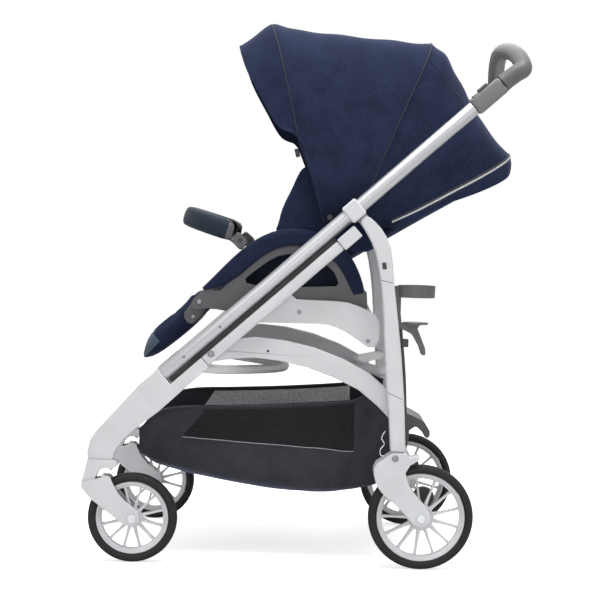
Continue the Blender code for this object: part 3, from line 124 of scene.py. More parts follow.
def addLamps():
    for name, lamp in lampSettings.items():
        data = bpy.data.lights.new(name + "Lamp", "AREA")
        data.shape = "DISK"
        data.size = lamp["size"]
        data.energy = lamp["power"]
        obj = bpy.data.objects.new(name + "Lamp", data)
        obj.location = lamp["place"]
        aim = Vector(lamp["aim"]) - Vector(lamp["place"])
        obj.rotation_euler = aim.to_track_quat("-Z", "Y").to_euler()
        scene.collection.objects.link(obj)


# even light all round, and plain white where the camera, glass or gloss sees past the object
def addWorld():
    scene.world = bpy.data.worlds.new("studio")
    scene.world.use_nodes = True
    tree = scene.world.node_tree
    tree.nodes.clear()
    rays = addNode(tree, "LightPath").outputs
    seen = rays["Is Camera Ray"]
    for kind in ("Is Transmission Ray", "Is Glossy Ray"):
        seen = addNode(tree, "Math", {0: seen, 1: rays[kind]}, operation="MAXIMUM").outputs[0]
    plain = (1.0, 1.0, 1.0, 1.0)
    ambient = addNode(tree, "Background", {"Color": plain, "Strength": studioSettings["world"]})
    white = addNode(tree, "Background", {"Color": plain})
    mix = addNode(tree, "MixShader", {0: seen, 1: ambient.outputs[0], 2: white.outputs[0]})
    addNode(tree, "OutputWorld", {"Surface": mix.outputs[0]})


# a pale floor that glows a little to the camera alone, and keeps the object's shadow
def addFloor():
    made = bpy.data.materials.new("paleFloor")
    made.use_nodes = True
    tree = made.node_tree
    tree.nodes.clear()
    seen = addNode(tree, "LightPath").outputs["Is Camera Ray"]
    level = addNode(tree, "Math", {0: seen, 1: studioSettings["floorGlow"]}, operation="MULTIPLY")
    glow = addNode(tree, "Emission", {"Strength": level.outputs[0]})
    paper = addNode(tree, "BsdfDiffuse", {"Color": (*[studioSettings["floor"]] * 3, 1.0)})
    both = addNode(tree, "AddShader", {0: paper.outputs[0], 1: glow.outputs[0]})
    addNode(tree, "OutputMaterial", {"Surface": both.outputs[0]})
    bm = bmesh.new()
    bmesh.ops.create_grid(bm, x_segments=1, y_segments=1, size=studioSettings["floorSize"])
    mesh = bpy.data.meshes.new("floor")
    bm.to_mesh(mesh)
    bm.free()
    mesh.materials.append(made)
    floor = bpy.data.objects.new("floor", mesh)
    scene.collection.objects.link(floor)


looks = {}


def scaled(colour, factor):
    return tuple(min(c * factor, 1.0) for c in colour)


# a material under construction: its node tree, and short calls for the nodes it needs
class Finish:

    def __init__(self, name, colour, roughness, sockets=None):
        looks[name] = bpy.data.materials.new(name)
        looks[name].use_nodes = True
        self.tree = looks[name].node_tree
        self.shader = self.tree.nodes["Principled BSDF"]
        self.colour = colour
        self.bump = None
        for key, value in {"Base Color": (*colour, 1.0), "Roughness": roughness, **(sockets or {})}.items():
            self.shader.inputs[key].default_value = value

    def node(self, kind, output, inputs, **values):
        return addNode(self.tree, kind, inputs, **values).outputs[output]

    def join(self, output, socket):
        self.tree.links.new(output, self.shader.inputs[socket])

    def coords(self, scale=(1.0, 1.0, 1.0), turn=(0.0, 0.0, 0.0)):
        own = self.node("TexCoord", "Object", {})
        return self.node("Mapping", "Vector", {"Vector": own, "Scale": scale, "Rotation": turn})

    def speckle(self, where, scale, detail=2.0):
        return self.node("TexNoise", "Fac", {"Vector": where, "Scale": scale, "Detail": detail})

    def cells(self, where, scale):
        return self.node("TexVoronoi", "Distance", {"Vector": where, "Scale": scale})

    def math(self, operation, a, b):
        return self.node("Math", 0, {0: a, 1: b}, operation=operation)

    def mixed(self, a, shareA, b, shareB):
        return self.math("ADD", self.math("MULTIPLY", a, shareA), self.math("MULTIPLY", b, shareB))

    # colours along a ramp: stops are (place, colour)
    def tint(self, factor, *stops):
        ramp = addNode(self.tree, "ValToRGB", {"Fac": factor})
        elements = ramp.color_ramp.elements
        while len(elements) < len(stops):
            elements.new(0.5)
        for element, (place, colour) in zip(elements, stops):
            element.position = place
            element.color = (*colour, 1.0)
        self.join(ramp.outputs["Color"], "Base Color")

    # the finish's own colour, darker and lighter along a ramp: stops are (place, share)
    def vary(self, factor, *stops):
        self.tint(factor, *((place, scaled(self.colour, share)) for place, share in stops))

    def gloss(self, factor, low, high):
        self.join(self.node("MapRange", "Result", {"Value": factor, "To Min": low, "To Max": high}), "Roughness")

    def relief(self, height, strength, distance):
        below = {} if self.bump is None else {"Normal": self.bump}
        self.bump = self.node("Bump", "Normal", {"Height": height, "Strength": strength, "Distance": distance, **below})
        self.join(self.bump, "Normal")


paintSettings = {
    "whitePaint": {"colour": (0.525, 0.53, 0.545), "roughness": 0.4, "grain": 0.1},
    "greyPlastic": {"colour": (0.07, 0.07, 0.075), "roughness": 0.48, "grain": 0.3},
    "socketPlastic": {"colour": (0.135, 0.135, 0.14), "roughness": 0.42, "grain": 0.3},
    "darkPlastic": {"colour": (0.022, 0.022, 0.024), "roughness": 0.5, "grain": 0.3},
}
paintScales = {"cloud": 9.0, "smear": 60.0, "grain": 1400.0}


def makePaints():
    for name, paint in paintSettings.items():
        finish = Finish(name, paint["colour"], paint["roughness"])
        where = finish.coords()
        finish.vary(finish.speckle(where, paintScales["cloud"], 3.0), (0.3, 0.93), (0.7, 1.05))
        smear = finish.speckle(where, paintScales["smear"], 4.0)
        finish.gloss(smear, paint["roughness"] - 0.07, paint["roughness"] + 0.09)
        finish.relief(finish.speckle(where, paintScales["grain"]), paint["grain"], 0.0002)


metalSettings = {
    "satinTube": {"colour": (0.66, 0.67, 0.69), "roughness": 0.33, "metallic": 0.92},
    "boltSteel": {"colour": (0.55, 0.56, 0.58), "roughness": 0.25, "metallic": 1.0},
    "darkSteel": {"colour": (0.2, 0.205, 0.215), "roughness": 0.34, "metallic": 1.0},
}
brushing = {"scale": (6.0, 900.0, 900.0), "dark": (0.4, 0.405, 0.42), "light": (0.49, 0.495, 0.51)}


# brushed tubes with lines along their slope, turned bolts, and plain dark screws
def makeMetals():
    tube, bolt, _ = (
        Finish(name, metal["colour"], metal["roughness"], {"Metallic": metal["metallic"]})
        for name, metal in metalSettings.items()
    )
    lines = tube.speckle(tube.coords(brushing["scale"], (0.0, chassis["slope"], 0.0)), 1.6, 4.0)
    tube.tint(lines, (0.3, brushing["dark"]), (0.7, brushing["light"]))
    tube.gloss(lines, 0.34, 0.48)
    tube.relief(lines, 0.12, 0.0001)
    rings = bolt.speckle(bolt.coords(), 700.0, 3.0)
    bolt.gloss(rings, 0.15, 0.38)
    bolt.relief(rings, 0.1, 0.0001)


clothSettings = {
    "navyMelange": {"dark": (0.0055, 0.0085, 0.023), "light": (0.02, 0.028, 0.066), "sheen": 0.08, "threads": 1000.0},
    "navyLining": {"dark": (0.009, 0.011, 0.022), "light": (0.018, 0.022, 0.04), "sheen": 0.15, "threads": 1300.0},
    "basketCloth": {"dark": (0.021, 0.021, 0.025), "light": (0.048, 0.048, 0.056), "sheen": 0.25, "threads": 1500.0},
    "webbing": {"dark": (0.008, 0.009, 0.014), "light": (0.03, 0.033, 0.045), "sheen": 0.1, "threads": 700.0},
}
clothSockets = {"Sheen Roughness": 0.45, "Sheen Tint": (0.55, 0.65, 1.0, 1.0), "Specular IOR Level": 0.12}


# woven cloth: threads in three directions, mottled like a melange yarn
def makeCloths():
    for name, cloth in clothSettings.items():
        finish = Finish(name, cloth["light"], 0.88, {"Sheen Weight": cloth["sheen"], **clothSockets})
        fine, long = cloth["threads"], cloth["threads"] * 0.16
        warp, weft, cross = (
            finish.speckle(finish.coords(scale), 1.0)
            for scale in ((fine, fine, long), (long, fine, fine), (fine, long, fine))
        )
        weave = finish.math("MAXIMUM", finish.math("MAXIMUM", warp, weft), cross)
        shade = finish.mixed(weave, 0.85, finish.speckle(finish.coords(), 26.0, 4.0), 0.22)
        middle = tuple((a + b) / 2 for a, b in zip(cloth["dark"], cloth["light"]))
        finish.tint(shade, (0.5, cloth["dark"]), (0.61, middle), (0.76, cloth["light"]))
        finish.relief(weave, 0.55, 0.0004)
        finish.relief(finish.speckle(finish.coords(), 38.0, 3.0), 0.1, 0.002)


# the mesh windows' inner faces are painted pale: painted light that stands in for the bright backdrop seen through the
# far window
meshSettings = {
    "pitch": 620.0,
    "faces": {"meshWindow": ((0.014, 0.014, 0.016), 0.93), "meshInsidePaintedLight": ((0.76, 0.76, 0.79), 0.92)},
}


def makeMeshCloth():
    for name, (colour, cover) in meshSettings["faces"].items():
        finish = Finish(name, colour, 0.8, {"Alpha": cover, "Specular IOR Level": 0.15})
        holes = finish.cells(finish.coords(), meshSettings["pitch"])
        finish.vary(holes, (0.15, 1.5), (0.6, 0.5))
        finish.relief(holes, 0.5, 0.0004)


leatherSettings = {
    "slateLeather": {
        "dark": (0.01, 0.016, 0.025), "light": (0.018, 0.027, 0.04), "roughness": 0.62, "grain": 620.0, "shine": 0.12,
    },
    "toeLeather": {
        "dark": (0.034, 0.05, 0.072), "light": (0.056, 0.08, 0.11), "roughness": 0.5, "grain": 620.0, "shine": 0.3,
    },
    "gripLeather": {
        "dark": (0.075, 0.075, 0.08), "light": (0.125, 0.124, 0.13), "roughness": 0.44, "grain": 520.0, "shine": 0.3,
    },
}


def makeLeathers():
    for name, hide in leatherSettings.items():
        finish = Finish(name, hide["light"], hide["roughness"], {"Specular IOR Level": hide["shine"]})
        where = finish.coords()
        pebble = finish.cells(where, hide["grain"])
        cloud = finish.speckle(where, 30.0, 5.0)
        finish.tint(finish.mixed(pebble, 0.45, cloud, 0.6), (0.25, hide["dark"]), (0.75, hide["light"]))
        finish.gloss(cloud, hide["roughness"] - 0.08, hide["roughness"] + 0.1)
        finish.relief(pebble, 0.35, 0.0004)
        finish.relief(cloud, 0.15, 0.0015)


rubberColours = {"tyreRubber": (0.01, 0.01, 0.011), "softSeal": (0.03, 0.03, 0.032)}


def makeRubber():
    for name, colour in rubberColours.items():
        finish = Finish(name, colour, 0.62, {"Specular IOR Level": 0.25})
        where = finish.coords()
        dust = finish.speckle(where, 45.0, 5.0)
        finish.vary(dust, (0.35, 0.8), (0.75, 1.6))
        finish.gloss(dust, 0.5, 0.75)
        finish.relief(finish.speckle(where, 900.0), 0.25, 0.0003)


trimColours = {
    "reflectiveTape": (0.42, 0.43, 0.44), "darkPiping": (0.007, 0.008, 0.016),
    "lightThread": (0.3, 0.3, 0.32), "seamThread": (0.006, 0.007, 0.016),
}


# tapes, cords and threads with a fine twist
def makeTrims():
    for name, colour in trimColours.items():
        finish = Finish(name, colour, 0.6)
        twist = finish.speckle(finish.coords(), 1100.0)
        finish.vary(twist, (0.35, 0.7), (0.65, 1.25))
        finish.relief(twist, 0.4, 0.0003)


def makeMaterials():
    makePaints()
    makeMetals()
    makeCloths()
    makeMeshCloth()
    makeLeathers()
    makeRubber()
    makeTrims()
    print("materials made", len(looks))


# a point t along the sloping tubes from the lower pivot, and h above their line
def tubePoint(t, h, y):
    return chassis["pivot"] + alongTube * t + acrossTube * h + Vector((0.0, y, 0.0))


# turn a bmesh into a finished object that rides on a body
def addPiece(name, bm, look, body, replaced=(), sharp=35.0, extraLooks=()):
    bmesh.ops.remove_doubles(bm, verts=bm.verts, dist=0.00001)
    bmesh.ops.recalc_face_normals(bm, faces=bm.faces)
    mesh = bpy.data.meshes.new(name)
    bm.to_mesh(mesh)
    bm.free()
    mesh.shade_smooth()
    mesh.set_sharp_from_angle(angle=math.radians(sharp))
    obj = bpy.data.objects.new(name, mesh)
    scene.collection.objects.link(obj)
    for each in (look, *extraLooks):
        mesh.materials.append(looks[each])
    if replaced:
        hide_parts(*replaced)
    if body:
        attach(obj, body)
    return obj


# the smooth curve from b to c at share f, with a before them and d after
def through(a, b, c, d, f):
    return 0.5 * (2 * b + (c - a) * f + (2 * a - 5 * b + 4 * c - d) * f * f + (3 * b - a - 3 * c + d) * f**3)


# where share f falls on a row of evenly spread things: the one before it, and how far past that
def placeOn(row, f):
    place = min(max(f, 0.0), 1.0) * (len(row) - 1)
    i = min(int(place), len(row) - 2)
    return i, place - i


# the four things round the gap after the i-th one of a row
def around(row, i):
    return [row[min(max(i + k, 0), len(row) - 1)] for k in (-1, 0, 1, 2)]


# points on a smooth curve through the given points
def smoothPath(points, spans=6, closed=False):
    points = [Vector(p) for p in points]
    count = len(points)
    out = []
    for i in range(count if closed else count - 1):
        four = [points[(i + k) % count] for k in (-1, 0, 1, 2)] if closed else around(points, i)
        out += [through(*four, k / spans) for k in range(spans)]
    return out if closed else out + [points[-1]]


# the point at share f of a polyline of evenly spread points
def pathPoint(points, f):
    i, part = placeOn(points, f)
    return points[i].lerp(points[i + 1], part)


# a round cord or tube along the points, made a mesh
def pipe(name, points, radius, look, body, round=3, replaced=()):
    curve = bpy.data.curves.new(name, "CURVE")
    curve.dimensions = "3D"
    curve.bevel_depth = radius
    curve.bevel_resolution = round
    curve.use_fill_caps = True
    line = curve.splines.new("POLY")
    line.points.add(len(points) - 1)
    for target, point in zip(line.points, points):
        target.co = (*point, 1.0)
    holder = bpy.data.objects.new(name, curve)
    scene.collection.objects.link(holder)
    bpy.context.view_layer.update()
    mesh = bpy.data.meshes.new_from_object(holder.evaluated_get(bpy.context.evaluated_depsgraph_get()))
    bpy.data.objects.remove(holder)
    bm = bmesh.new()
    bm.from_mesh(mesh)
    bpy.data.meshes.remove(mesh)
    return addPiece(name, bm, look, body, replaced, 60.0)


# a grid sheet whose points are put where place(u, v) says, u and v from 0 to 1
def mappedGrid(across, along, place):
    bm = bmesh.new()
    bmesh.ops.create_grid(bm, x_segments=across, y_segments=along, size=0.5, calc_uvs=True)
    for v in bm.verts:
        v.co = place(v.co.x + 0.5, v.co.y + 0.5)
    return bm


def addModifier(obj, kind, **values):
    made = obj.modifiers.new(kind.lower(), kind)
    for key, value in values.items():
        setattr(made, key, value)
    return made


def applyModifiers(obj):
    bpy.context.view_layer.update()
    made = bpy.data.meshes.new_from_object(obj.evaluated_get(bpy.context.evaluated_depsgraph_get()))
    obj.modifiers.clear()
    obj.data = made


# give a sheet its cloth thickness
def thicken(obj, thickness, offset=-1.0):
    addModifier(obj, "SOLIDIFY", thickness=thickness, offset=offset, use_even_offset=False, use_rim=True)
    applyModifiers(obj)


# turn a closed shape into one even skin
def remesh(obj, size):
    addModifier(obj, "REMESH", mode="VOXEL", voxel_size=size, use_smooth_shade=True)
    applyModifiers(obj)


# even out the surface of a mesh
def soften(mesh, times=1):
    bm = bmesh.new()
    bm.from_mesh(mesh)
    for _ in range(times):
        bmesh.ops.smooth_vert(bm, verts=bm.verts, factor=0.5, use_axis_x=True, use_axis_y=True, use_axis_z=True)
    bm.to_mesh(mesh)
    bm.free()


# a closed profile of (radius, offset along the axle) spun round an axle along Y
def spun(profile, axisPoint, steps):
    bm = bmesh.new()
    verts = [bm.verts.new((axisPoint[0] + r, axisPoint[1] + y, axisPoint[2])) for r, y in profile]
    edges = [bm.edges.new((a, b)) for a, b in zip(verts, verts[1:] + verts[:1])]
    bmesh.ops.spin(
        bm, geom=verts + edges, cent=axisPoint, axis=(0.0, 1.0, 0.0), angle=math.tau, steps=steps, use_merge=True
    )
    return bm


# a small turned piece: its profile of (radius, distance outwards) spun round a point of one side
def addTurned(name, profile, centre, way, steps, look, body, sharp):
    return addPiece(name, spun([(r, way * d) for r, d in profile], centre, steps), look, body, sharp=sharp)


# copy the other bmesh into the target
def addBm(target, other):
    mesh = bpy.data.meshes.new("joined")
    other.to_mesh(mesh)
    other.free()
    target.from_mesh(mesh)
    bpy.data.meshes.remove(mesh)
    return target


def bevelEdges(bm, edges, width, segments=2):
    bmesh.ops.bevel(
        bm, geom=edges, offset=width, offset_type="OFFSET", segments=segments, profile=0.5, affect="EDGES", material=-1
    )


# a block of a half size with rounded edges, tilted in the side view about its centre
def roundedBlock(half, radius, segments, centre, tilt=0.0):
    bm = bmesh.new()
    bmesh.ops.create_cube(bm, size=2.0)
    bmesh.ops.scale(bm, vec=half, verts=bm.verts)
    bevelEdges(bm, bm.edges[:], radius, segments)
    bm.transform(Matrix.Translation(centre) @ Matrix.Rotation(math.radians(tilt), 4, "Y"))
    return bm


# each rib of the hood: side outline from its foot to its top, as (x, z)
frontRibs = [
    [(0.036, 0.69), (0.006, 0.79), (-0.0185, 0.858), (-0.06, 0.88), (-0.094, 0.934), (-0.128, 0.996), (-0.1475, 1.053)],
    [(0.036, 0.69), (0.008, 0.78), (-0.017, 0.845), (-0.031, 0.905), (-0.05, 0.985), (-0.069, 1.056), (-0.085, 1.099)],
    [(0.05, 0.69), (0.03, 0.785), (0.02, 0.84), (0.008, 0.9), (-0.008, 0.975), (-0.022, 1.044), (-0.03, 1.0905)],
    [(0.072, 0.688), (0.068, 0.79), (0.067, 0.84), (0.066, 0.895), (0.065, 0.965), (0.064, 1.037), (0.063, 1.0812)],
    [(0.088, 0.687), (0.108, 0.79), (0.116, 0.838), (0.127, 0.89), (0.142, 0.962), (0.161, 1.034), (0.17, 1.073)],
    [(0.099, 0.686), (0.14, 0.79), (0.158, 0.835), (0.179, 0.886), (0.209, 0.958), (0.24, 1.033), (0.25, 1.066)],
]
rearRibs = [
    frontRibs[-1],
    [(0.106, 0.685), (0.154, 0.782), (0.177, 0.825), (0.203, 0.875), (0.237, 0.944), (0.267, 1.006), (0.2825, 1.043)],
    [(0.118, 0.684), (0.173, 0.766), (0.202, 0.806), (0.235, 0.852), (0.275, 0.905), (0.303, 0.953), (0.3175, 0.979)],
    [(0.134, 0.684), (0.193, 0.746), (0.228, 0.781), (0.266, 0.82), (0.314, 0.862), (0.345, 0.893), (0.3615, 0.905)],
    [(0.1495, 0.685), (0.215, 0.717), (0.257, 0.74), (0.3, 0.764), (0.352, 0.793), (0.395, 0.82), (0.42, 0.841)],
]
hoodShape = {
    "halfWidth": 0.2262, "squareness": 3.2, "cloth": 0.0028, "sag": 0.0026, "crease": 0.0022, "middle": (0.1, 0.62),
    "front": {  # round the front panel: share from its front edge, distance out, radius, look
        "hoodFrontHem": (0.0, -0.0012, 0.0024, "navyMelange"),
        "hoodVisorSeam": (0.2, 0.0001, 0.001, "seamThread"),
        "hoodRearSeam": (1.0, 0.0004, 0.0012, "darkPiping"),
    },
    "crossSeam": {"reach": 0.62, "height": 0.262, "bow": 0.004, "radius": 0.0009},
}


# a point of a rib's side outline, q from 0 at its foot to 1 at its top
def ribPoint(rib, q):
    i, f = placeOn(rib, q)
    return through(*(Vector(p) for p in around(rib, i)), f)


# the hood's squared arch at v: how far across, from -1 to 1, and how far up from foot to top
def archPoint(v):
    power = 2.0 / hoodShape["squareness"]
    c, s = math.cos(math.pi * v), max(math.sin(math.pi * v), 0.0)
    return -math.copysign(abs(c) ** power, c), s**power


# a point of the hood: u from the first rib to the last, v from the left foot over the top
def hoodPoint(ribs, u, v, proud=0.0):
    i, f = placeOn(ribs, u)
    across, q = archPoint(v)
    flat = through(*(ribPoint(rib, q) for rib in around(ribs, i)), f)
    sag = hoodShape["sag"] * math.sin(math.pi * f) ** 2 * min(1.0, 3.0 * q)
    crease = noise.noise(Vector((flat.x * 9.0, v * 7.0, flat.y * 9.0))) * hoodShape["crease"] * min(1.0, 2.5 * q)
    y = across * (hoodShape["halfWidth"] + proud - sag * 0.7 * (1 - q) + crease)
    inward = (Vector(hoodShape["middle"]) - flat).normalized()
    flat = flat + inward * (sag * q - proud * q - crease * q)
    return Vector((flat.x, y, flat.y))


# one panel of the hood with its cloth thickness
def hoodSheet(name, ribs, body, replaced):
    panel = addPiece(name, mappedGrid(56, 72, lambda u, v: hoodPoint(ribs, u, v)), "navyMelange", body, replaced, 60.0)
    thicken(panel, hoodShape["cloth"])
    return panel


# bake the placement of a front-panel piece into its mesh; it rides on no body
def foldWithHood(piece):
    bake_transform(piece)


# v counts from the left: the same place on the given side
def onSide(v, way):
    return v if way < 0 else 1.0 - v


# the front and rear panels of the hood, their seams, piping, zip line, side tag and studs
def addHood():
    front = hoodSheet("hoodFrontPanel", frontRibs, None, ["hood_front"])
    rear = hoodSheet("hoodRearPanel", rearRibs, "backrest", ["hood_rear"])
    hems = []
    for name, (u, proud, radius, look) in hoodShape["front"].items():
        line = [hoodPoint(frontRibs, u, k / 96, proud) for k in range(97)]
        hems.append(pipe(name, line, radius, look, None, round=2))
    cross = hoodShape["crossSeam"]
    for word, way in sides:
        line = []
        for k in range(33):
            v = cross["height"] - cross["bow"] * math.sin(math.pi * k / 32)
            line.append(hoodPoint(rearRibs, k / 32 * cross["reach"], onSide(v, way), 0.0002))
        pipe(f"hoodCrossSeam.{word}", line, cross["radius"], "seamThread", "backrest", round=2)
    for piece in (front, *hems):
        foldWithHood(piece)
    addZip()
    addHoodTag()
    addHoodStuds()


# along the hood's lower edge: share of the spacing down, radius, look
zipSettings = {
    "spacing": 0.0052, "slant": 0.25, "proud": 0.0004,
    "rows": {
        "zipUpperCord": (-0.1, 0.0017, "darkPiping"),
        "zipTape": (0.75, 0.0024, "reflectiveTape"),
        "zipLowerCord": (1.6, 0.0017, "darkPiping"),
    },
}


# the reflective tape along the hood's lower edge, between two dark cords
def addZip():
    for name, (share, radius, look) in zipSettings["rows"].items():
        drop = zipSettings["spacing"] * share
        down = Vector((drop * zipSettings["slant"], 0.0, -drop))
        ring = [0.004 + 0.992 * k / 120 for k in range(121)]
        line = [hoodPoint(rearRibs, 1.0, v, zipSettings["proud"]) + down for v in ring]
        pipe(name, line, radius, look, "backrest")


# a blank dark tag sewn into the near side of the hood's front edge
def addHoodTag():
    bm = roundedBlock((0.0045, 0.0006, 0.0085), 0.0004, 1, (-0.0215, -0.2255, 0.826), -14.0)
    foldWithHood(addPiece("hoodTag", bm, "darkPiping", None))


studSettings = {
    "places": [(0.0815, 0.702), (0.047, 0.698)],
    "profile": [(0.0, 0.0), (0.0052, 0.0), (0.006, 0.0008), (0.0055, 0.0018), (0.0034, 0.0022), (0.0, 0.0022)],
}


# the press studs that hold the hood's foot to the seat
def addHoodStuds():
    for word, way in sides:
        for i, (x, z) in enumerate(studSettings["places"]):
            centre = (x, way * 0.2268, z)
            addTurned(f"hoodStud{i}.{word}", studSettings["profile"], centre, way, 28, "darkPlastic", "backrest", 25.0)


# a closed form from a finely cut cube: place(f, g, h) puts each point, all from -1 to 1
def pillow(cuts, place):
    bm = bmesh.new()
    bmesh.ops.create_cube(bm, size=2.0)
    bmesh.ops.subdivide_edges(bm, edges=bm.edges[:], cuts=cuts, use_grid_fill=True)
    for v in bm.verts:
        v.co = place(*v.co)
    return bm


puffSettings = {"voxel": 0.0055, "pressure": 4.0, "stiffness": 12.0, "quality": 4, "frames": 20}


# blow the padding up a little with a cloth simulation, no point further than cap, and keep the result in the mesh
def puff(piece, cap):
    start = bpy.data.objects.new(piece.name + "Start", piece.data.copy())
    scene.collection.objects.link(start)
    remesh(start, puffSettings["voxel"])
    before = [v.co.copy() for v in start.data.vertices]
    cloth = start.modifiers.new("padding", "CLOTH")
    cloth.settings.use_pressure = True
    cloth.settings.uniform_pressure_force = puffSettings["pressure"]
    cloth.settings.tension_stiffness = puffSettings["stiffness"]
    cloth.settings.compression_stiffness = puffSettings["stiffness"]
    cloth.settings.quality = puffSettings["quality"]
    cloth.settings.effector_weights.gravity = 0.0
    cloth.collision_settings.use_collision = False
    for number in range(1, puffSettings["frames"] + 1):
        scene.frame_set(number)
    applyModifiers(start)
    scene.frame_set(1)
    for v, old in zip(start.data.vertices, before):
        move = v.co - old
        if move.length > cap:
            v.co = old + move.normalized() * cap
    made = start.data
    bpy.data.objects.remove(start)
    made.materials.clear()
    for material in piece.data.materials:
        made.materials.append(material)
    piece.data = made
    soften(made)
    made.shade_smooth()
    print("padding", piece.name, len(made.vertices))


# draw the surface in along a sewn line: points of the line, how wide and deep, and which way
def pressSeam(piece, points, width, depth, inward):
    line = [Vector(p) for p in points]
    way = Vector(inward).normalized()
    low = Vector([min(p[k] for p in line) - width for k in range(3)])
    high = Vector([max(p[k] for p in line) + width for k in range(3)])
    for v in piece.data.vertices:
        if any(v.co[k] < low[k] or v.co[k] > high[k] for k in range(3)) or v.normal.dot(way) > -0.2:
            continue
        near = min((segmentDistance(v.co, a, b, way) for a, b in zip(line, line[1:])))
        if near < width:
            v.co += way * depth * (1.0 - near / width) ** 2


# distance from a point to a stretch of line, measured across the pressing direction
def segmentDistance(point, a, b, way):
    flat = lambda p: p - way * p.dot(way)
    point, a, b = flat(point), flat(a), flat(b)
    run = b - a
    f = min(max((point - a).dot(run) / max(run.length_squared, 1e-12), 0.0), 1.0)
    return (point - (a + run * f)).length


backSettings = {
    "foot": (0.0745, 0.598), "angle": math.radians(31.0), "length": 0.372, "start": -0.02,
    "halfWidth": 0.2195, "narrow": 0.176, "under": 0.0105, "over": 0.027, "rim": 0.008,
    "seams": (0.11, 0.205, 0.285), "seamWidth": 0.01, "seamDepth": 0.005,
}


# a point on the backrest: distance up it, across, and height above its middle plane
def backPoint(along, y, height):
    x0, z0 = backSettings["foot"]
    c, s = math.cos(backSettings["angle"]), math.sin(backSettings["angle"])
    return Vector((x0 + along * c - height * s, y, z0 + along * s + height * c))


# half width of the backrest at share f of its length
def backOutline(f):
    s = backSettings
    low = s["narrow"] / s["halfWidth"]
    rise = min(max((f - 0.2) / 0.16, 0.0), 1.0)
    rise = rise * rise * (3 - 2 * rise)
    end = math.sqrt(max(1.0 - max((f - 0.7) / 0.42, 0.0) ** 2.2, 0.0))
    return s["halfWidth"] * (low + (1 - low) * rise) * end


# the padded backrest with its sewn channels
def addBackrest():
    s = backSettings

    def place(f, g, h):
        share = (f + 1) / 2
        edge = (1 - abs(g) ** 8) * (1 - abs(f) ** 10)
        across = backOutline(share) * g * (1.0 - 0.02 * h * h)
        middle = 0.01 * math.sin(math.pi * share)
        if h > 0:
            height = s["under"] + (s["over"] - s["under"]) * (0.6 + 0.4 * edge) * h + s["rim"] * (abs(g) ** 3) * edge
        else:
            height = s["under"] + 0.003 * h * (0.6 + 0.4 * edge)
        return backPoint(s["start"] + share * s["length"], across, height + middle * 0.3)

    pad = addPiece("backrestPad", pillow(14, place), "navyMelange", None, ["backrest_pad"])
    puff(pad, 0.006)
    inward = -(backPoint(0, 0, 1) - backPoint(0, 0, 0))
    for along in s["seams"]:
        line = [backPoint(along, y, 0.03) for y in (-0.19, -0.1, 0.0, 0.1, 0.19)]
        pressSeam(pad, line, s["seamWidth"], s["seamDepth"], inward)
    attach(pad, "backrest")


# the strip below the zip: outline of its lower edge from a foot to the rear, and where it turns in
stripSettings = {
    "edge": [(0.179, 0.6765), (0.2325, 0.706), (0.2835, 0.7325), (0.3545, 0.76), (0.402, 0.785), (0.42, 0.805)],
    "wall": 0.75, "bulge": 0.004, "inset": 0.0015, "cloth": 0.003,
}


# the outer shell of the backrest below the zip, turned in underneath
def addBackShell():
    wall = stripSettings["wall"]

    def place(u, v):
        top = hoodPoint(rearRibs, 1.0, v)
        across, q = archPoint(v)
        low = ribPoint(stripSettings["edge"], q)
        bottom = Vector((low.x, across * (hoodShape["halfWidth"] - stripSettings["inset"]), low.y))
        if u < wall:
            bulge = math.sin(math.pi * min(u / wall, 1.0)) * stripSettings["bulge"]
            point = top.lerp(bottom, u / wall)
            return point + Vector((bulge * q, math.copysign(bulge, across) * (1 - q), 0.0))
        inner = bottom.lerp(Vector((0.26 + 0.1 * (q - 0.5), 0.0, 0.715 + 0.055 * (q - 0.5))), 0.1)
        return bottom.lerp(inner, (u - wall) / (1.0 - wall))

    shell = addPiece("backShellSide", mappedGrid(20, 96, place), "navyMelange", None, sharp=60.0)
    thicken(shell, stripSettings["cloth"])
    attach(shell, "backrest")


# the seat's rear point in the side view
seatRear = (0.0845, 0.6)
cushionSettings = {
    "inset": 0.004, "middle": 0.021, "slope": 0.0065, "seams": (0.36, 0.7), "seamWidth": 0.01, "seamDepth": 0.005,
}


# a point from the seat's rear reference, as the seat side's own outline is given
def seatPoint(x, y, z):
    return Vector((seatRear[0] + x, y, seatRear[1] + z))


# the padded cushion, as wide and long as its CAD node, with two sewn channels
def addSeatCushion():
    s = cushionSettings
    low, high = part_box("seat_cushion")
    half = (high.y - low.y) / 2 - s["inset"]
    length = high.x - low.x - s["inset"]

    def place(f, g, h):
        edge = (1 - abs(g) ** 6) * (1 - abs(f) ** 8)
        x = (low.x + high.x) / 2 + f * length / 2 * (1 - 0.012 * h * h)
        y = g * half * (1 - 0.012 * h * h)
        middle = low.z + s["middle"] - s["slope"] * f
        rise = (0.013 + 0.011 * edge) * h if h > 0 else (0.011 + 0.003 * edge) * h
        return Vector((x, y, middle + rise))

    pad = addPiece("seatPad", pillow(14, place), "navyMelange", None, ["seat_cushion"])
    puff(pad, 0.005)
    for share in s["seams"]:
        x = low.x + (high.x - low.x) * share
        line = [(x, y, high.z) for y in (-half * 0.95, 0.0, half * 0.95)]
        pressSeam(pad, line, s["seamWidth"], s["seamDepth"], (0, 0, -1))
    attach(pad, "seat")


# the armrest covers: top line of the band from its front foot to its rear one, and widths along it
armrestSettings = {
    "route": smoothPath([(x, 0.0, z) for x, z in (
        (-0.292, -0.05), (-0.27, -0.028), (-0.242, 0.002), (-0.213, 0.03), (-0.18, 0.055),
        (-0.14, 0.072), (-0.097, 0.076), (-0.045, 0.065), (-0.006, 0.04), (0.018, 0.005),
        (0.032, -0.028), (0.038, -0.052),
    )], 8),
    "widths": (0.008, 0.03, 0.04, 0.041, 0.041, 0.04, 0.04, 0.041, 0.038, 0.034, 0.032, 0.026),
    "from": 0.1985, "thick": 0.0165, "seamAt": 0.2146, "seamIn": 0.0035,
}


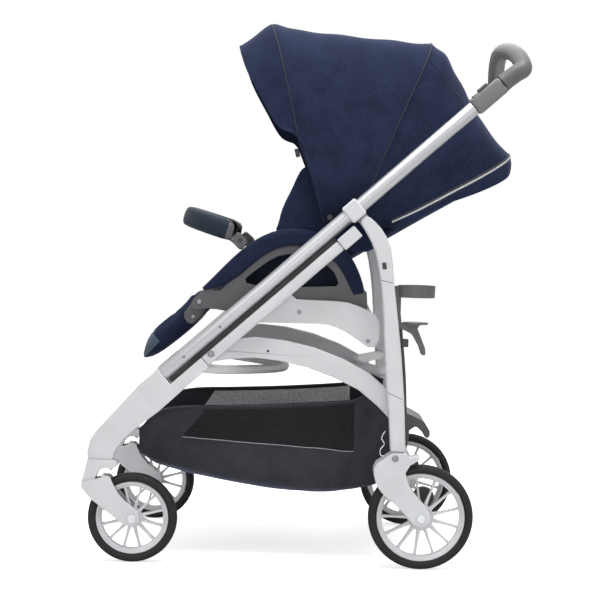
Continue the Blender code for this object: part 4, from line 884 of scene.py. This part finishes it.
# the armrest at share f of its length: its outer point, the direction outwards, and its width
def armrestAt(f):
    route, widths = armrestSettings["route"], armrestSettings["widths"]
    i, _ = placeOn(route, f)
    heading = (route[i + 1] - route[i]).normalized()
    j, part = placeOn(widths, f)
    width = widths[j] + (widths[j + 1] - widths[j]) * part
    return pathPoint(route, f), Vector((-heading.z, 0.0, heading.x)), width


# the padded covers along the top of the seat sides
def addArmrests():
    for word, way in sides:

        def place(f, g, h):
            here, out, width = armrestAt((f + 1) / 2)
            at = here + out * ((g * (1 - 0.06 * h * h) - 1) * width / 2)
            thick = armrestSettings["thick"] * (1 - 0.35 * abs(g) ** 5)
            return seatPoint(at.x, way * (armrestSettings["from"] + h * thick), at.z)

        pad = addPiece(f"armrestCover.{word}", pillow(12, place), "navyMelange", None, [f"armrest_pad_{word}"])
        addModifier(pad, "SUBSURF", levels=1, render_levels=1)
        applyModifiers(pad)
        pad.data.shade_smooth()
        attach(pad, "seat")
        line = []
        for k in range(49):
            here, out, width = armrestAt(0.02 + 0.96 * k / 48)
            at = here - out * (width - armrestSettings["seamIn"])
            line.append(seatPoint(at.x, way * armrestSettings["seamAt"], at.z))
        pipe(f"armrestSeam.{word}", line, 0.0008, "seamThread", "seat", round=2)


# a plate of a closed side outline round the seat's rear point, from a distance from the middle outwards
def seatPlate(outline, spans, inner, thickness):
    bm = bmesh.new()
    route = smoothPath([(x, 0.0, z) for x, z in outline], spans, True)
    bm.faces.new([bm.verts.new(seatPoint(p.x, 0.0, p.z)) for p in route])
    moved = bmesh.ops.extrude_face_region(bm, geom=bm.faces[:])
    fresh = [v for v in moved["geom"] if isinstance(v, bmesh.types.BMVert)]
    bmesh.ops.translate(bm, vec=(0.0, thickness, 0.0), verts=fresh)
    bmesh.ops.translate(bm, vec=(0.0, inner, 0.0), verts=bm.verts)
    return bm


wingSettings = {
    "outline": [
        (-0.139, 0.06), (-0.141, 0.085), (-0.134, 0.115), (-0.119, 0.148), (-0.1, 0.19), (-0.085, 0.2),
        (-0.05, 0.18), (-0.015, 0.16), (0.03, 0.12), (0.06, 0.06), (0.04, 0.03), (-0.04, 0.035),
    ],
    "from": 0.186, "thick": 0.014, "voxel": 0.004, "soften": 6,
}


# the padded wings beside the child's shoulders, between the armrests and the hood
def addSideWings():
    for word, way in sides:
        bm = seatPlate(wingSettings["outline"], 4, way * wingSettings["from"], way * wingSettings["thick"])
        wing = addPiece(f"sideWing.{word}", bm, "navyMelange", None)
        remesh(wing, wingSettings["voxel"])
        soften(wing.data, wingSettings["soften"])
        wing.data.materials.clear()
        wing.data.materials.append(looks["navyMelange"])
        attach(wing, "seat")


# the leg rest: hinge, slope, and heights of its upper and lower side from the hinge down to the toe
legSettings = {
    "top": (-0.2135, 0.521), "angle": math.radians(47.0), "length": 0.18, "seam": 0.062, "patch": 0.118,
    "upper": (0.02, 0.015, 0.016, 0.0205, 0.0225, 0.0175, 0.006),
    "lower": (-0.012, -0.02, -0.0215, -0.019, -0.015, -0.0095, -0.001),
}


# a point on the leg rest: distance down it, across, and height above its middle plane
def legPoint(along, y, height):
    c, s = math.cos(legSettings["angle"]), math.sin(legSettings["angle"])
    return Vector((legSettings["top"][0] - along * c - height * s, y, legSettings["top"][1] - along * s + height * c))


# the leg rest pad with its sewn channel and toe patch
def addLegrest():
    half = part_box("legrest_pad")[1].y - 0.002
    upper, lower = (smoothPath([(k, h, 0) for k, h in enumerate(legSettings[s])], 4) for s in ("upper", "lower"))

    def place(f, g, h):
        share = (f + 1) / 2
        edge = (1 - abs(g) ** 6) * (1 - abs(f) ** 6)
        width = half * (1.0 - 0.1 * share * share) * math.sqrt(max(1.0 - max((share - 0.8) / 0.36, 0.0) ** 2, 0.0))
        top, base = pathPoint(upper, share).y, pathPoint(lower, share).y
        middle, thick = (top + base) / 2, (top - base) / 2 * (0.86 + 0.14 * edge)
        return legPoint(-0.006 + share * legSettings["length"], g * width * (1 - 0.015 * h * h), middle + thick * h)

    pad = addPiece("legrestCover", pillow(12, place), "navyMelange", None, ["legrest_pad"], extraLooks=("toeLeather",))
    puff(pad, 0.005)
    start = legPoint(0, 0, 0)
    down = (legPoint(1, 0, 0) - start).normalized()
    up = (legPoint(0, 0, 1) - start).normalized()
    for along, width, depth in ((legSettings["seam"], 0.009, 0.004), (legSettings["patch"], 0.006, 0.002)):
        pressSeam(pad, [legPoint(along, y, 0.02) for y in (-half * 0.92, 0.0, half * 0.92)], width, depth, -up)
    cuts = ((down, legSettings["patch"] + 0.001), (up, 0.001))
    bm = bmesh.new()
    bm.from_mesh(pad.data)
    for normal, distance in cuts:
        everything = bm.verts[:] + bm.edges[:] + bm.faces[:]
        bmesh.ops.bisect_plane(bm, geom=everything, dist=0.0002, plane_co=start + normal * distance, plane_no=normal)
    bm.to_mesh(pad.data)
    bm.free()
    for face in pad.data.polygons:
        if all((face.center - start).dot(normal) > distance for normal, distance in cuts):
            face.material_index = 1
    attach(pad, "legrest")


# body of each CAD node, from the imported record
bodyOfNode = {node: body for body, nodes in frame["record"]["behaviour"]["bodies"].items() for node in nodes}


# a node's name written as the pieces are named
def plainName(node):
    words = node.split("_")
    tail = "." + words.pop() if words[-1] in ("left", "right") else ""
    return words[0] + "".join(w.capitalize() for w in words[1:]) + tail


# the CAD node's own form with its edges rounded over
def refineNode(node, look, width, sharp=38.0, smoothing=0):
    bm = bmesh.new()
    bm.from_mesh(cadNodes[node].data)
    bm.transform(cadNodes[node].matrix_world)
    bmesh.ops.remove_doubles(bm, verts=bm.verts, dist=0.00002)
    bmesh.ops.dissolve_limit(bm, angle_limit=math.radians(1.2), verts=bm.verts, edges=bm.edges)
    piece = addPiece(plainName(node), bm, look, bodyOfNode[node], [node], sharp)
    if width:
        addModifier(
            piece, "BEVEL", width=width, segments=3, limit_method="ANGLE", angle_limit=math.radians(32.0),
            harden_normals=True,
        )
    if smoothing:
        addModifier(piece, "SUBSURF", levels=smoothing, render_levels=smoothing)
    return piece


# look and edge radius of each rigid node, both sides
rigidLooks = {
    "front_leg": ("whitePaint", 0.0016), "frame_tube": ("whitePaint", 0.001), "lock_housing": ("whitePaint", 0.0012),
    "handle_socket": ("socketPlastic", 0.001), "fold_button": ("greyPlastic", 0.0006),
    "lower_link": ("whitePaint", 0.0012), "rear_leg": ("whitePaint", 0.0016), "rear_fork": ("whitePaint", 0.0014),
    "tube_sleeve": ("whitePaint", 0.001), "caster_body": ("whitePaint", 0.0012), "front_fork": ("whitePaint", 0.001),
    "seat_carrier": ("whitePaint", 0.0014), "seat_side": ("greyPlastic", 0.0012),
    "legrest_bracket": ("greyPlastic", 0.001), "rear_axle": ("boltSteel", 0.0004), "front_axle": ("boltSteel", 0.0004),
}


def addRigidPieces():
    for word, _ in sides:
        for stem, (look, width) in rigidLooks.items():
            refineNode(f"{stem}_{word}", look, width)
    for node in ("front_bow", "rear_bow", "rear_cross_tube"):
        refineNode(node, "whitePaint", 0.0, 60.0)
    refineNode("brake_pedal", "greyPlastic", 0.0012)
    refineNode("cup_holder", "greyPlastic", 0.0005, 40.0)


# profiles of tyre, rim and hub are (radius from the tyre's edge, distance from the middle) of one half
wheelSettings = {
    "rear": {"axle": chassis["rearAxle"], "radius": 0.105, "hub": 0.026, "spokes": 13},
    "front": {"axle": chassis["frontAxle"], "radius": 0.0895, "hub": 0.019, "spokes": 12},
}
tyreHalf = [
    (-0.0165, 0.01), (-0.015, 0.0136), (-0.011, 0.0157), (-0.0072, 0.0156), (-0.0038, 0.0137), (-0.0018, 0.011),
    (-0.0009, 0.0082), (-0.0022, 0.0074), (-0.0022, 0.0064), (-0.0004, 0.0056), (0.0, 0.0028),
]
rimHalf = [
    (-0.0168, 0.009), (-0.0172, 0.0112), (-0.019, 0.0123), (-0.0212, 0.0116), (-0.0226, 0.0092), (-0.0252, 0.008),
    (-0.0275, 0.0062),
]


# a profile and its mirror image, as one closed outline
def mirrored(half):
    return half + [(r, -y) for r, y in reversed(half)]


# one spoke: a bevelled bar, wider at the hub, then turned to its place
def spokeBar(inner, outer, turn, centre):
    bm = bmesh.new()
    bmesh.ops.create_cube(bm, size=1.0)
    bmesh.ops.subdivide_edges(bm, edges=[e for e in bm.edges if abs((e.verts[0].co - e.verts[1].co).x) > 0.5], cuts=6)
    for v in bm.verts:
        share = v.co.x + 0.5
        flare = (1 - share) ** 3 * 0.0042 + share**6 * 0.0026
        v.co = (inner + (outer - inner) * share, v.co.y * (0.0135 - 0.0035 * share), v.co.z * (0.004 + flare))
    bevelEdges(bm, [e for e in bm.edges if len(e.link_faces) == 2 and e.calc_face_angle(0.0) > 1.0], 0.0011)
    bm.transform(Matrix.Translation(centre) @ Matrix.Rotation(turn, 4, "Y"))
    return bm


# each wheel: a black tyre, and a rim with its hub and spokes in one piece
def addWheels():
    for word, way in sides:
        for place, wheel in wheelSettings.items():
            centre = wheel["axle"] + Vector((0.0, way * chassis["trackHalf"], 0.0))
            radius, hub, body = wheel["radius"], wheel["hub"], f"{place}_wheel_{word}"
            tyre = spun(mirrored([(radius + r, y) for r, y in tyreHalf]), centre, 112)
            addPiece(f"{place}Tyre.{word}", tyre, "tyreRubber", body, [f"{place}_wheel_{word}_tyre"], 50.0)
            rim = spun(mirrored([(radius + r, y) for r, y in rimHalf]), centre, 112)
            hubHalf = [
                (0.0047, 0.014), (0.0105, 0.014), (0.0112, 0.015), (hub - 0.0062, 0.015), (hub - 0.005, 0.0138),
                (hub - 0.0035, 0.0138), (hub - 0.0022, 0.0146), (hub - 0.0004, 0.0136), (hub, 0.0116),
            ]
            addBm(rim, spun(mirrored(hubHalf), centre, 72))
            for k in range(wheel["spokes"]):
                turn = math.tau * (k + 0.5) / wheel["spokes"]
                addBm(rim, spokeBar(hub - 0.003, radius - 0.0262, turn, centre))
            addPiece(f"{place}Rim.{word}", rim, "whitePaint", body, [f"{place}_wheel_{word}_rim"], 40.0)


tubeSettings = {"from": -0.1, "to": 0.7137, "above": 0.031, "radius": 0.0145, "edge": 0.0008, "sides": 64}


# the round push tubes, rounded at their ends
def addPushTubes():
    radius = tubeSettings["radius"]
    for word, way in sides:
        y = way * chassis["trackHalf"]
        start, end = (tubePoint(tubeSettings[k], tubeSettings["above"], y) for k in ("from", "to"))
        run = end - start
        bm = bmesh.new()
        bmesh.ops.create_cone(
            bm, cap_ends=True, segments=tubeSettings["sides"], radius1=radius, radius2=radius, depth=run.length
        )
        bevelEdges(bm, [e for e in bm.edges if e.calc_face_angle(0.0) > 1.0], tubeSettings["edge"])
        bm.transform(Matrix.Translation((start + end) / 2) @ run.to_track_quat("Z", "Y").to_matrix().to_4x4())
        addPiece(f"pushTube.{word}", bm, "satinTube", "root", [f"push_tube_{word}"], 50.0)


# profile of a screw head with its socket, in shares of its radius and its height
screwHead = {
    "height": 0.0016,
    "profile": [(0, 0), (1, 0), (1, 0.35), (0.86, 0.8), (0.55, 1), (0.42, 1), (0.38, 0.35), (0, 0.3)],
}


# a domed screw head on a plate that faces sideways
def addScrew(name, centre, way, radius, look, body):
    profile = [(radius * r, screwHead["height"] * d) for r, d in screwHead["profile"]]
    addTurned(name, profile, centre, way, 24, look, body, 30.0)


# screws and bolts of one side: x, z, distance from the middle, radius, body, look
screwPlaces = {
    "legrestUpper": (-0.2127, 0.5209, 0.2115, 0.005, "seat", "darkSteel"),
    "legrestLower": (-0.2251, 0.4902, 0.1959, 0.0042, "legrest", "darkSteel"),
    "seatBolt": (-0.0096, 0.5261, 0.2115, 0.0068, "seat", "darkPlastic"),
    "carrierFront": (-0.0091, 0.5067, 0.2285, 0.0044, "seat", "darkSteel"),
    "carrierRear": (0.1303, 0.4519, 0.2285, 0.0044, "seat", "darkSteel"),
    "tubeUpper": (-0.1658, 0.4755, 0.2794, 0.003, "root", "darkSteel"),
    "tubeLower": (-0.2364, 0.414, 0.2794, 0.003, "root", "darkSteel"),
    "pivot": (-0.1824, 0.4215, 0.28, 0.007, "root", "darkSteel"),
    "forkBolt": (0.1884, 0.2236, 0.28, 0.0068, "rear_frame", "darkSteel"),
    "linkHole": (-0.0701, 0.4277, 0.2465, 0.0024, "links", "darkPlastic"),
}


def addScrews():
    for word, way in sides:
        for name, (x, z, y, radius, body, look) in screwPlaces.items():
            if name == "forkBolt":
                y = -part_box("rear_fork_left")[0].y
            addScrew(f"{name}.{word}", (x, way * y, z), way, radius, look, body)


# the basket: share of its length at the window's ends, share of its girth at rim, window and seam, and
# sewn lines of each side as (start, run) of both shares, steps, bend, distance out, radius, look
basketSettings = {
    "halfWidth": 0.2035, "cloth": 0.0022, "folds": 0.0022, "creases": 0.0008,
    "along": (0.15, 0.8), "down": (0.05, 0.45, 0.65), "grid": (120, 120),
    "walls": {"basketFrontWall": (0.0, 0.262, 0.004), "basketRearWall": (1.0, 0.3, -0.004)},
    "trims": {
        "basketTopBinding": ((0.0, 1.0), (0.0, 0.0), 90, 1, 0.0, 0.0032, "darkPiping"),
        "basketPiping": ((0.15, 0.65), (0.2262, 0.0), 60, 1, 0.0006, 0.0008, "lightThread"),
        "basketLowerSeam": ((0.0, 1.0), (0.325, 0.0), 90, 1, 0.0004, 0.0013, "basketCloth"),
        "basketRearSeam": ((0.8, 0.0), (0.008, 0.216), 20, 1, 0.0002, 0.0007, "darkPiping"),
        "basketCurvedSeam": ((0.8, -0.12), (0.226, 0.098), 16, 2, 0.0002, 0.0007, "darkPiping"),
    },
    "eyelet": [(0.0078, -0.0006), (0.0098, -0.0006), (0.01, 0.0006), (0.009, 0.0014), (0.008, 0.0006)],
}
# side outline of the basket by x: top edge, window top, window bottom, lower seam, bottom middle, share of the width
basketStations = [
    (-0.33, 0.256, 0.25, 0.234, 0.216, 0.198, 0.92),
    (-0.295, 0.293, 0.288, 0.248, 0.204, 0.178, 0.96),
    (-0.24, 0.306, 0.3005, 0.246, 0.192, 0.163, 0.99),
    (-0.15, 0.31, 0.304, 0.2405, 0.177, 0.146, 1.0),
    (-0.05, 0.315, 0.309, 0.235, 0.166, 0.132, 1.0),
    (0.05, 0.322, 0.316, 0.229, 0.158, 0.129, 1.0),
    (0.108, 0.329, 0.323, 0.226, 0.156, 0.139, 1.0),
    (0.148, 0.348, 0.339, 0.235, 0.16, 0.15, 1.0),
    (0.183, 0.337, 0.329, 0.24, 0.176, 0.16, 0.985),
]
windowEdges = {"frontBottom": -0.2405, "frontTop": -0.196, "rear": 0.108}


# the heights and the width share of the basket at x
def basketRow(x):
    rows = basketStations
    x = min(max(x, rows[0][0]), rows[-1][0])
    i = next(k for k, row in enumerate(rows[1:]) if x <= row[0])
    f = (x - rows[i][0]) / (rows[i + 1][0] - rows[i][0])
    return [through(*four, f) for four in zip(*around(rows, i))]


def between(a, b, f):
    return a + (b - a) * f


# front end of the mesh window at a height, from 0 at its lower edge to 1 at its upper one
def windowFront(lean):
    return between(windowEdges["frontBottom"], windowEdges["frontTop"], lean)


# a point of the basket: u from the front to the rear, v from the left top edge round below to the right top edge
def basketPoint(u, v):
    down = 1.0 - abs(2.0 * v - 1.0)
    rim, sill, hem = basketSettings["down"]
    near, far = basketSettings["along"]
    first, last = basketStations[0][0], basketStations[-1][0]
    front, rear = windowFront(1.0 - min(down / sill, 1.0)), windowEdges["rear"]
    if u < near:
        x = between(first, front, u / near)
    elif u < far:
        x = between(front, rear, (u - near) / (far - near))
    else:
        x = between(rear, last, (u - far) / (1.0 - far))
    _, top, windowTop, windowBottom, seam, bottom, share = basketRow(x)
    width = basketSettings["halfWidth"] * share
    if down < rim:
        z = between(top, windowTop, down / rim)
        y = width
    elif down < sill:
        f = (down - rim) / (sill - rim)
        z = between(windowTop, windowBottom, f)
        slack = 0.5 + 0.5 * math.sin(math.pi * min(max((x + 0.25) / 0.36, 0), 1))
        y = width - 0.0045 * math.sin(math.pi * f) * slack
    elif down < hem:
        f = (down - sill) / (hem - sill)
        z = between(windowBottom, seam, f)
        y = width + 0.001 * math.sin(math.pi * f) - 0.004 * f
    else:
        turn = (down - hem) / (1.0 - hem) * math.pi / 2
        y = (width - 0.004) * math.cos(turn) ** 0.45 if down < 1.0 else 0.0
        z = between(bottom, seam, 1.0 - math.sin(turn) ** 0.9)
    wave = noise.noise(Vector((x * 16.0, v * 9.0, 3.0))) * basketSettings["folds"]
    wave += noise.noise(Vector((x * 42.0, v * 22.0, 8.0))) * basketSettings["creases"]
    way = -1.0 if v < 0.5 else 1.0
    return Vector((x, way * (y - max(wave, -0.001)), z + wave * min(down, 0.6)))


# an end wall of the basket, from its section at u up to a height, bowed outwards in its middle
def basketWall(name, u, topZ, bow):
    roof = min(topZ, basketPoint(u, 0.0).z - 0.002)

    def place(a, b):
        low = basketPoint(u, 0.25 + 0.5 * a)
        out = bow * b * (1 - (abs(low.y) / basketSettings["halfWidth"]) ** 4)
        return Vector((low.x + out, low.y, between(low.z, roof, b)))

    wall = addPiece(name, mappedGrid(40, 16, place), "basketCloth", "root", sharp=60.0)
    thicken(wall, basketSettings["cloth"])
    return wall


# the sewn basket: shell with mesh windows, end walls, bindings, seams and eyelets
def addBasket():
    bm = mappedGrid(*basketSettings["grid"], basketPoint)
    shell = addPiece("basketShell", bm, "basketCloth", "root", ["basket"], 60.0, ("meshWindow", "meshInsidePaintedLight"))
    shell.data.update()
    for face in shell.data.polygons:
        c = face.center
        _, _, windowTop, windowBottom, *_ = basketRow(c.x)
        lean = (c.z - windowBottom) / max(windowTop - windowBottom, 0.001)
        if abs(c.y) > 0.12 and 0.0 < lean < 1.0 and windowFront(lean) < c.x < windowEdges["rear"]:
            face.material_index = 1
    thicken(shell, basketSettings["cloth"])
    # window faces that look into the basket get the pale inside finish, painted light for the backdrop seen through the
    # mesh
    for face in shell.data.polygons:
        if face.material_index == 1 and face.normal.y * face.center.y < 0:
            face.material_index = 2
    walls = [basketWall(name, *wall) for name, wall in basketSettings["walls"].items()]
    trims = []
    for word, way in sides:
        for name, ((u, du), (v, dv), steps, bend, out, radius, look) in basketSettings["trims"].items():
            line = []
            for k in range(steps + 1):
                f = k / steps
                line.append(basketPoint(u + du * f**bend, onSide(v + dv * f, way)) + Vector((0, way * out, 0)))
            trims.append(pipe(f"{name}.{word}", line, radius, look, "root"))
        centre = (0.137, basketPoint(0.88, onSide(0.07, way)).y + way * 0.0004, 0.302)
        eyelet = basketSettings["eyelet"]
        trims.append(addTurned(f"basketEyelet.{word}", eyelet, centre, way, 40, "basketCloth", "root", 40.0))
    for piece in (shell, *walls, *trims):
        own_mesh(piece)


# the covered bar, with grey brackets at its rear ends
def addBumper():
    bar = refineNode("bumper_bar", "slateLeather", 0.0, 50.0, 1)
    bar.data.materials.append(looks["greyPlastic"])
    for face in bar.data.polygons:
        if face.center.x > -0.16:
            face.material_index = 1
    for word, way in sides:
        addScrew(f"bumperScrew.{word}", (-0.1322, way * 0.2251, 0.6483), way, 0.0042, "darkPlastic", "bumper")


# half of the handle's centre line, from the socket to the raised middle: x, distance from the middle, z
gripRoute = [
    (0.3829, 0.265, 0.9722), (0.3946, 0.265, 0.982), (0.4085, 0.265, 0.9925), (0.42, 0.2625, 1.0),
    (0.4225, 0.252, 1.008), (0.4205, 0.231, 1.02), (0.4175, 0.2, 1.0325), (0.413, 0.15, 1.0445),
    (0.4095, 0.1, 1.052), (0.4065, 0.05, 1.0565), (0.4055, 0.0, 1.058),
]
gripSettings = {
    "radius": 0.0176, "ring": [(0.017, 0.0), (0.0184, 0.0004), (0.0184, 0.0016), (0.0172, 0.0022)],
    "seamFrom": 0.17, "seamRun": 0.33, "seamAt": 0.0175,
}


# a padded handle that rises between two arms, with its leather's end rings and stitched seams
def addHandle():
    left = [(x, -y, z) for x, y, z in gripRoute]
    route = smoothPath(left + gripRoute[-2::-1], 6)
    pipe("gripPad", route, gripSettings["radius"], "gripLeather", "root", round=7, replaced=("handle_grip",))
    for word, way in sides:
        start, second = (Vector((x, way * y, z)) for x, y, z in gripRoute[:2])
        turn = Vector((0.0, 0.0, 1.0)).rotation_difference((second - start).normalized()).to_matrix().to_4x4()
        ring = spun(gripSettings["ring"], (0.0, 0.0, 0.0), 40)
        ring.transform(turn @ Matrix.Rotation(math.radians(-90.0), 4, "X"))
        ring.transform(Matrix.Translation(start))
        addPiece(f"gripRing.{word}", ring, "darkPlastic", "root", sharp=30.0)
        seam = []
        for k in range(41):
            share = gripSettings["seamFrom"] + gripSettings["seamRun"] * k / 40
            at, ahead = (pathPoint(route, onSide(share + more, way)) for more in (0.0, 0.001))
            side = (ahead - at).cross(Vector((0.0, way, 0.35))).normalized()
            seam.append(at + side * (way * gripSettings["seamAt"]))
        pipe(f"gripSeam.{word}", seam, 0.0008, "darkPiping", "root", round=2)


# the rubber strips between the tubes keep their CAD form
def addSeals():
    for word, _ in sides:
        for entry in cadNodes[f"tube_seal_{word}"].material_slots:
            entry.material = looks["softSeal"]


# a flat band through the points, each row spread by the same vector across
def ribbon(name, points, across, thickness, look, body):
    route = smoothPath(points, 8)
    spread = Vector(across)
    bm = mappedGrid(len(route), 4, lambda u, v: pathPoint(route, u) + spread * (v - 0.5))
    band = addPiece(name, bm, look, body, sharp=50.0)
    thicken(band, thickness, 0.0)
    return band


liningSettings = {
    "outline": [
        (-0.262, -0.066), (-0.215, -0.018), (-0.16, 0.034), (-0.096, 0.05), (-0.034, 0.034), (0.004, -0.008),
        (0.016, -0.052), (-0.06, -0.066), (-0.16, -0.07),
    ],
    "from": 0.1735, "thick": 0.006,
}


# the cloth that closes the arch below each armrest from inside
def addSeatLining():
    for word, way in sides:
        bm = seatPlate(liningSettings["outline"], 5, way * liningSettings["from"], way * liningSettings["thick"])
        panel = addPiece(f"seatLining.{word}", bm, "navyLining", "seat", sharp=40.0)


flapSettings = {
    "width": 0.352, "thick": 0.004,
    "seatFrontFlap": [(-0.168, 0.0, 0.522), (-0.19, 0.0, 0.52), (-0.2125, 0.0, 0.514)],
    "seatRearFlap": [(0.056, 0.0, 0.53), (0.07, 0.0, 0.56), (0.086, 0.0, 0.596), (0.1, 0.0, 0.606)],
}


# cloth flaps that close the seat in front of the leg rest and behind the cushion
def addSeatFlaps():
    for name in ("seatFrontFlap", "seatRearFlap"):
        across = (0.0, flapSettings["width"], 0.0)
        flap = ribbon(name, flapSettings[name], across, flapSettings["thick"], "navyLining", "seat")


# the harness: shoulder straps as (up the backrest, distance from the middle), pads, waist straps, and the buckle
harness = {
    "buckle": Vector((-0.035, 0.0, 0.564)), "width": 0.03,
    "shoulder": [(0.285, 0.046), (0.2, 0.05), (0.11, 0.05), (0.045, 0.044)], "pad": (0.25, 0.19, 0.13, 0.08),
    "waist": [(0.04, 0.172, 0.556), (0.02, 0.12, 0.557), (-0.01, 0.06, 0.559)],
    "crotch": [(-0.07, 0.0, 0.556), (-0.092, 0.0, 0.551)],
}


# shoulder, waist and crotch straps with their buckle
def addHarness():
    buckle, flat = harness["buckle"], Vector((0.0, harness["width"], 0.0))
    for word, way in sides:
        top = [backPoint(along, way * y, 0.04) for along, y in harness["shoulder"]]
        end = [Vector((0.02, way * 0.036, 0.576)), buckle + Vector((0.012, way * 0.017, 0.004))]
        strap = ribbon(f"shoulderStrap.{word}", top + end, flat, 0.0018, "webbing", None)
        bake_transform(strap)
        pad = [backPoint(along, way * 0.05, 0.043) for along in harness["pad"]]
        cover = ribbon(f"shoulderPad.{word}", pad, flat * 1.5, 0.007, "navyMelange", "backrest")
        addModifier(cover, "BEVEL", width=0.0028, segments=3)
        waist = [(x, way * y, z) for x, y, z in harness["waist"]] + [buckle + Vector((0.004, way * 0.02, 0.003))]
        ribbon(f"waistStrap.{word}", waist, (0.026, 0.0, 0.002), 0.0018, "webbing", "seat")
    crotch = [buckle + Vector((-0.01, 0.0, 0.001)), *harness["crotch"]]
    ribbon("crotchStrap", crotch, flat, 0.002, "webbing", "seat")
    shell = roundedBlock((0.024, 0.026, 0.006), 0.005, 4, buckle, 6.0)
    addPiece("buckle", shell, "darkPlastic", "seat", sharp=50.0)
    press = roundedBlock((0.009, 0.009, 0.002), 0.0018, 3, buckle + Vector((0.0, 0.0, 0.0068)))
    addPiece("buckleButton", press, "greyPlastic", "seat", sharp=50.0)


# small things on each rear leg, in the side view: parting lines, cable rail, wire hook, plate, clip and drum
legDetails = {
    "face": 0.2798, "railAt": 0.26, "hookAt": 0.274,
    "parting": [((0.1502, 0.5768), (0.1743, 0.5715)), ((0.1699, 0.3537), (0.199, 0.3405))],
    "rail": [(0.188, 0.518), (0.196, 0.454), (0.204, 0.37), (0.208, 0.286)],
    "hook": [(0.1674, 0.276), (0.161, 0.262), (0.1665, 0.25), (0.159, 0.239), (0.16, 0.228), (0.1668, 0.226)],
    "drum": [(0.0, 0.0), (0.02, 0.0), (0.0215, 0.0015), (0.0215, 0.0085), (0.0195, 0.0105), (0.0, 0.0105)],
}


# the far side's details mirror the near side's
def addLegDetails():
    d = legDetails
    for word, way in sides:
        for i, ends in enumerate(d["parting"]):
            line = [Vector((x, way * d["face"], z)) for x, z in ends]
            pipe(f"legParting{i}.{word}", line, 0.0006, "darkPlastic", "rear_frame", round=1)
        plate = roundedBlock((0.0042, 0.0006, 0.0068), 0.0005, 2, (0.1569, way * 0.2803, 0.6047), -8.0)
        addPiece(f"legPlate.{word}", plate, "darkPlastic", "rear_frame")
        rail, hook = (smoothPath([(x, way * d[key + "At"], z) for x, z in d[key]], 6) for key in ("rail", "hook"))
        pipe(f"cableRail.{word}", rail, 0.0038, "darkPlastic", "rear_frame")
        clip = roundedBlock((0.0075, 0.008, 0.008), 0.0018, 3, (0.202, way * d["railAt"], 0.452))
        addPiece(f"cableClip.{word}", clip, "darkPlastic", "rear_frame")
        pipe(f"wireHook.{word}", hook, 0.0011, "boltSteel", "rear_frame", round=2)
        centre = (0.25, way * 0.2275, 0.14)
        addTurned(f"brakeDrum.{word}", d["drum"], centre, way, 40, "darkPlastic", "rear_frame", 40.0)


for stage in (
    addCamera, addLamps, addWorld, addFloor, makeMaterials, addRigidPieces, addSeals, addWheels, addPushTubes,
    addScrews, addHood, addBackShell, addBackrest, addSeatCushion, addArmrests, addSideWings, addLegrest,
    addSeatLining, addSeatFlaps, addHarness, addLegDetails, addBumper, addHandle, addBasket,
):
    stage()
    print("made:", stage.__name__)
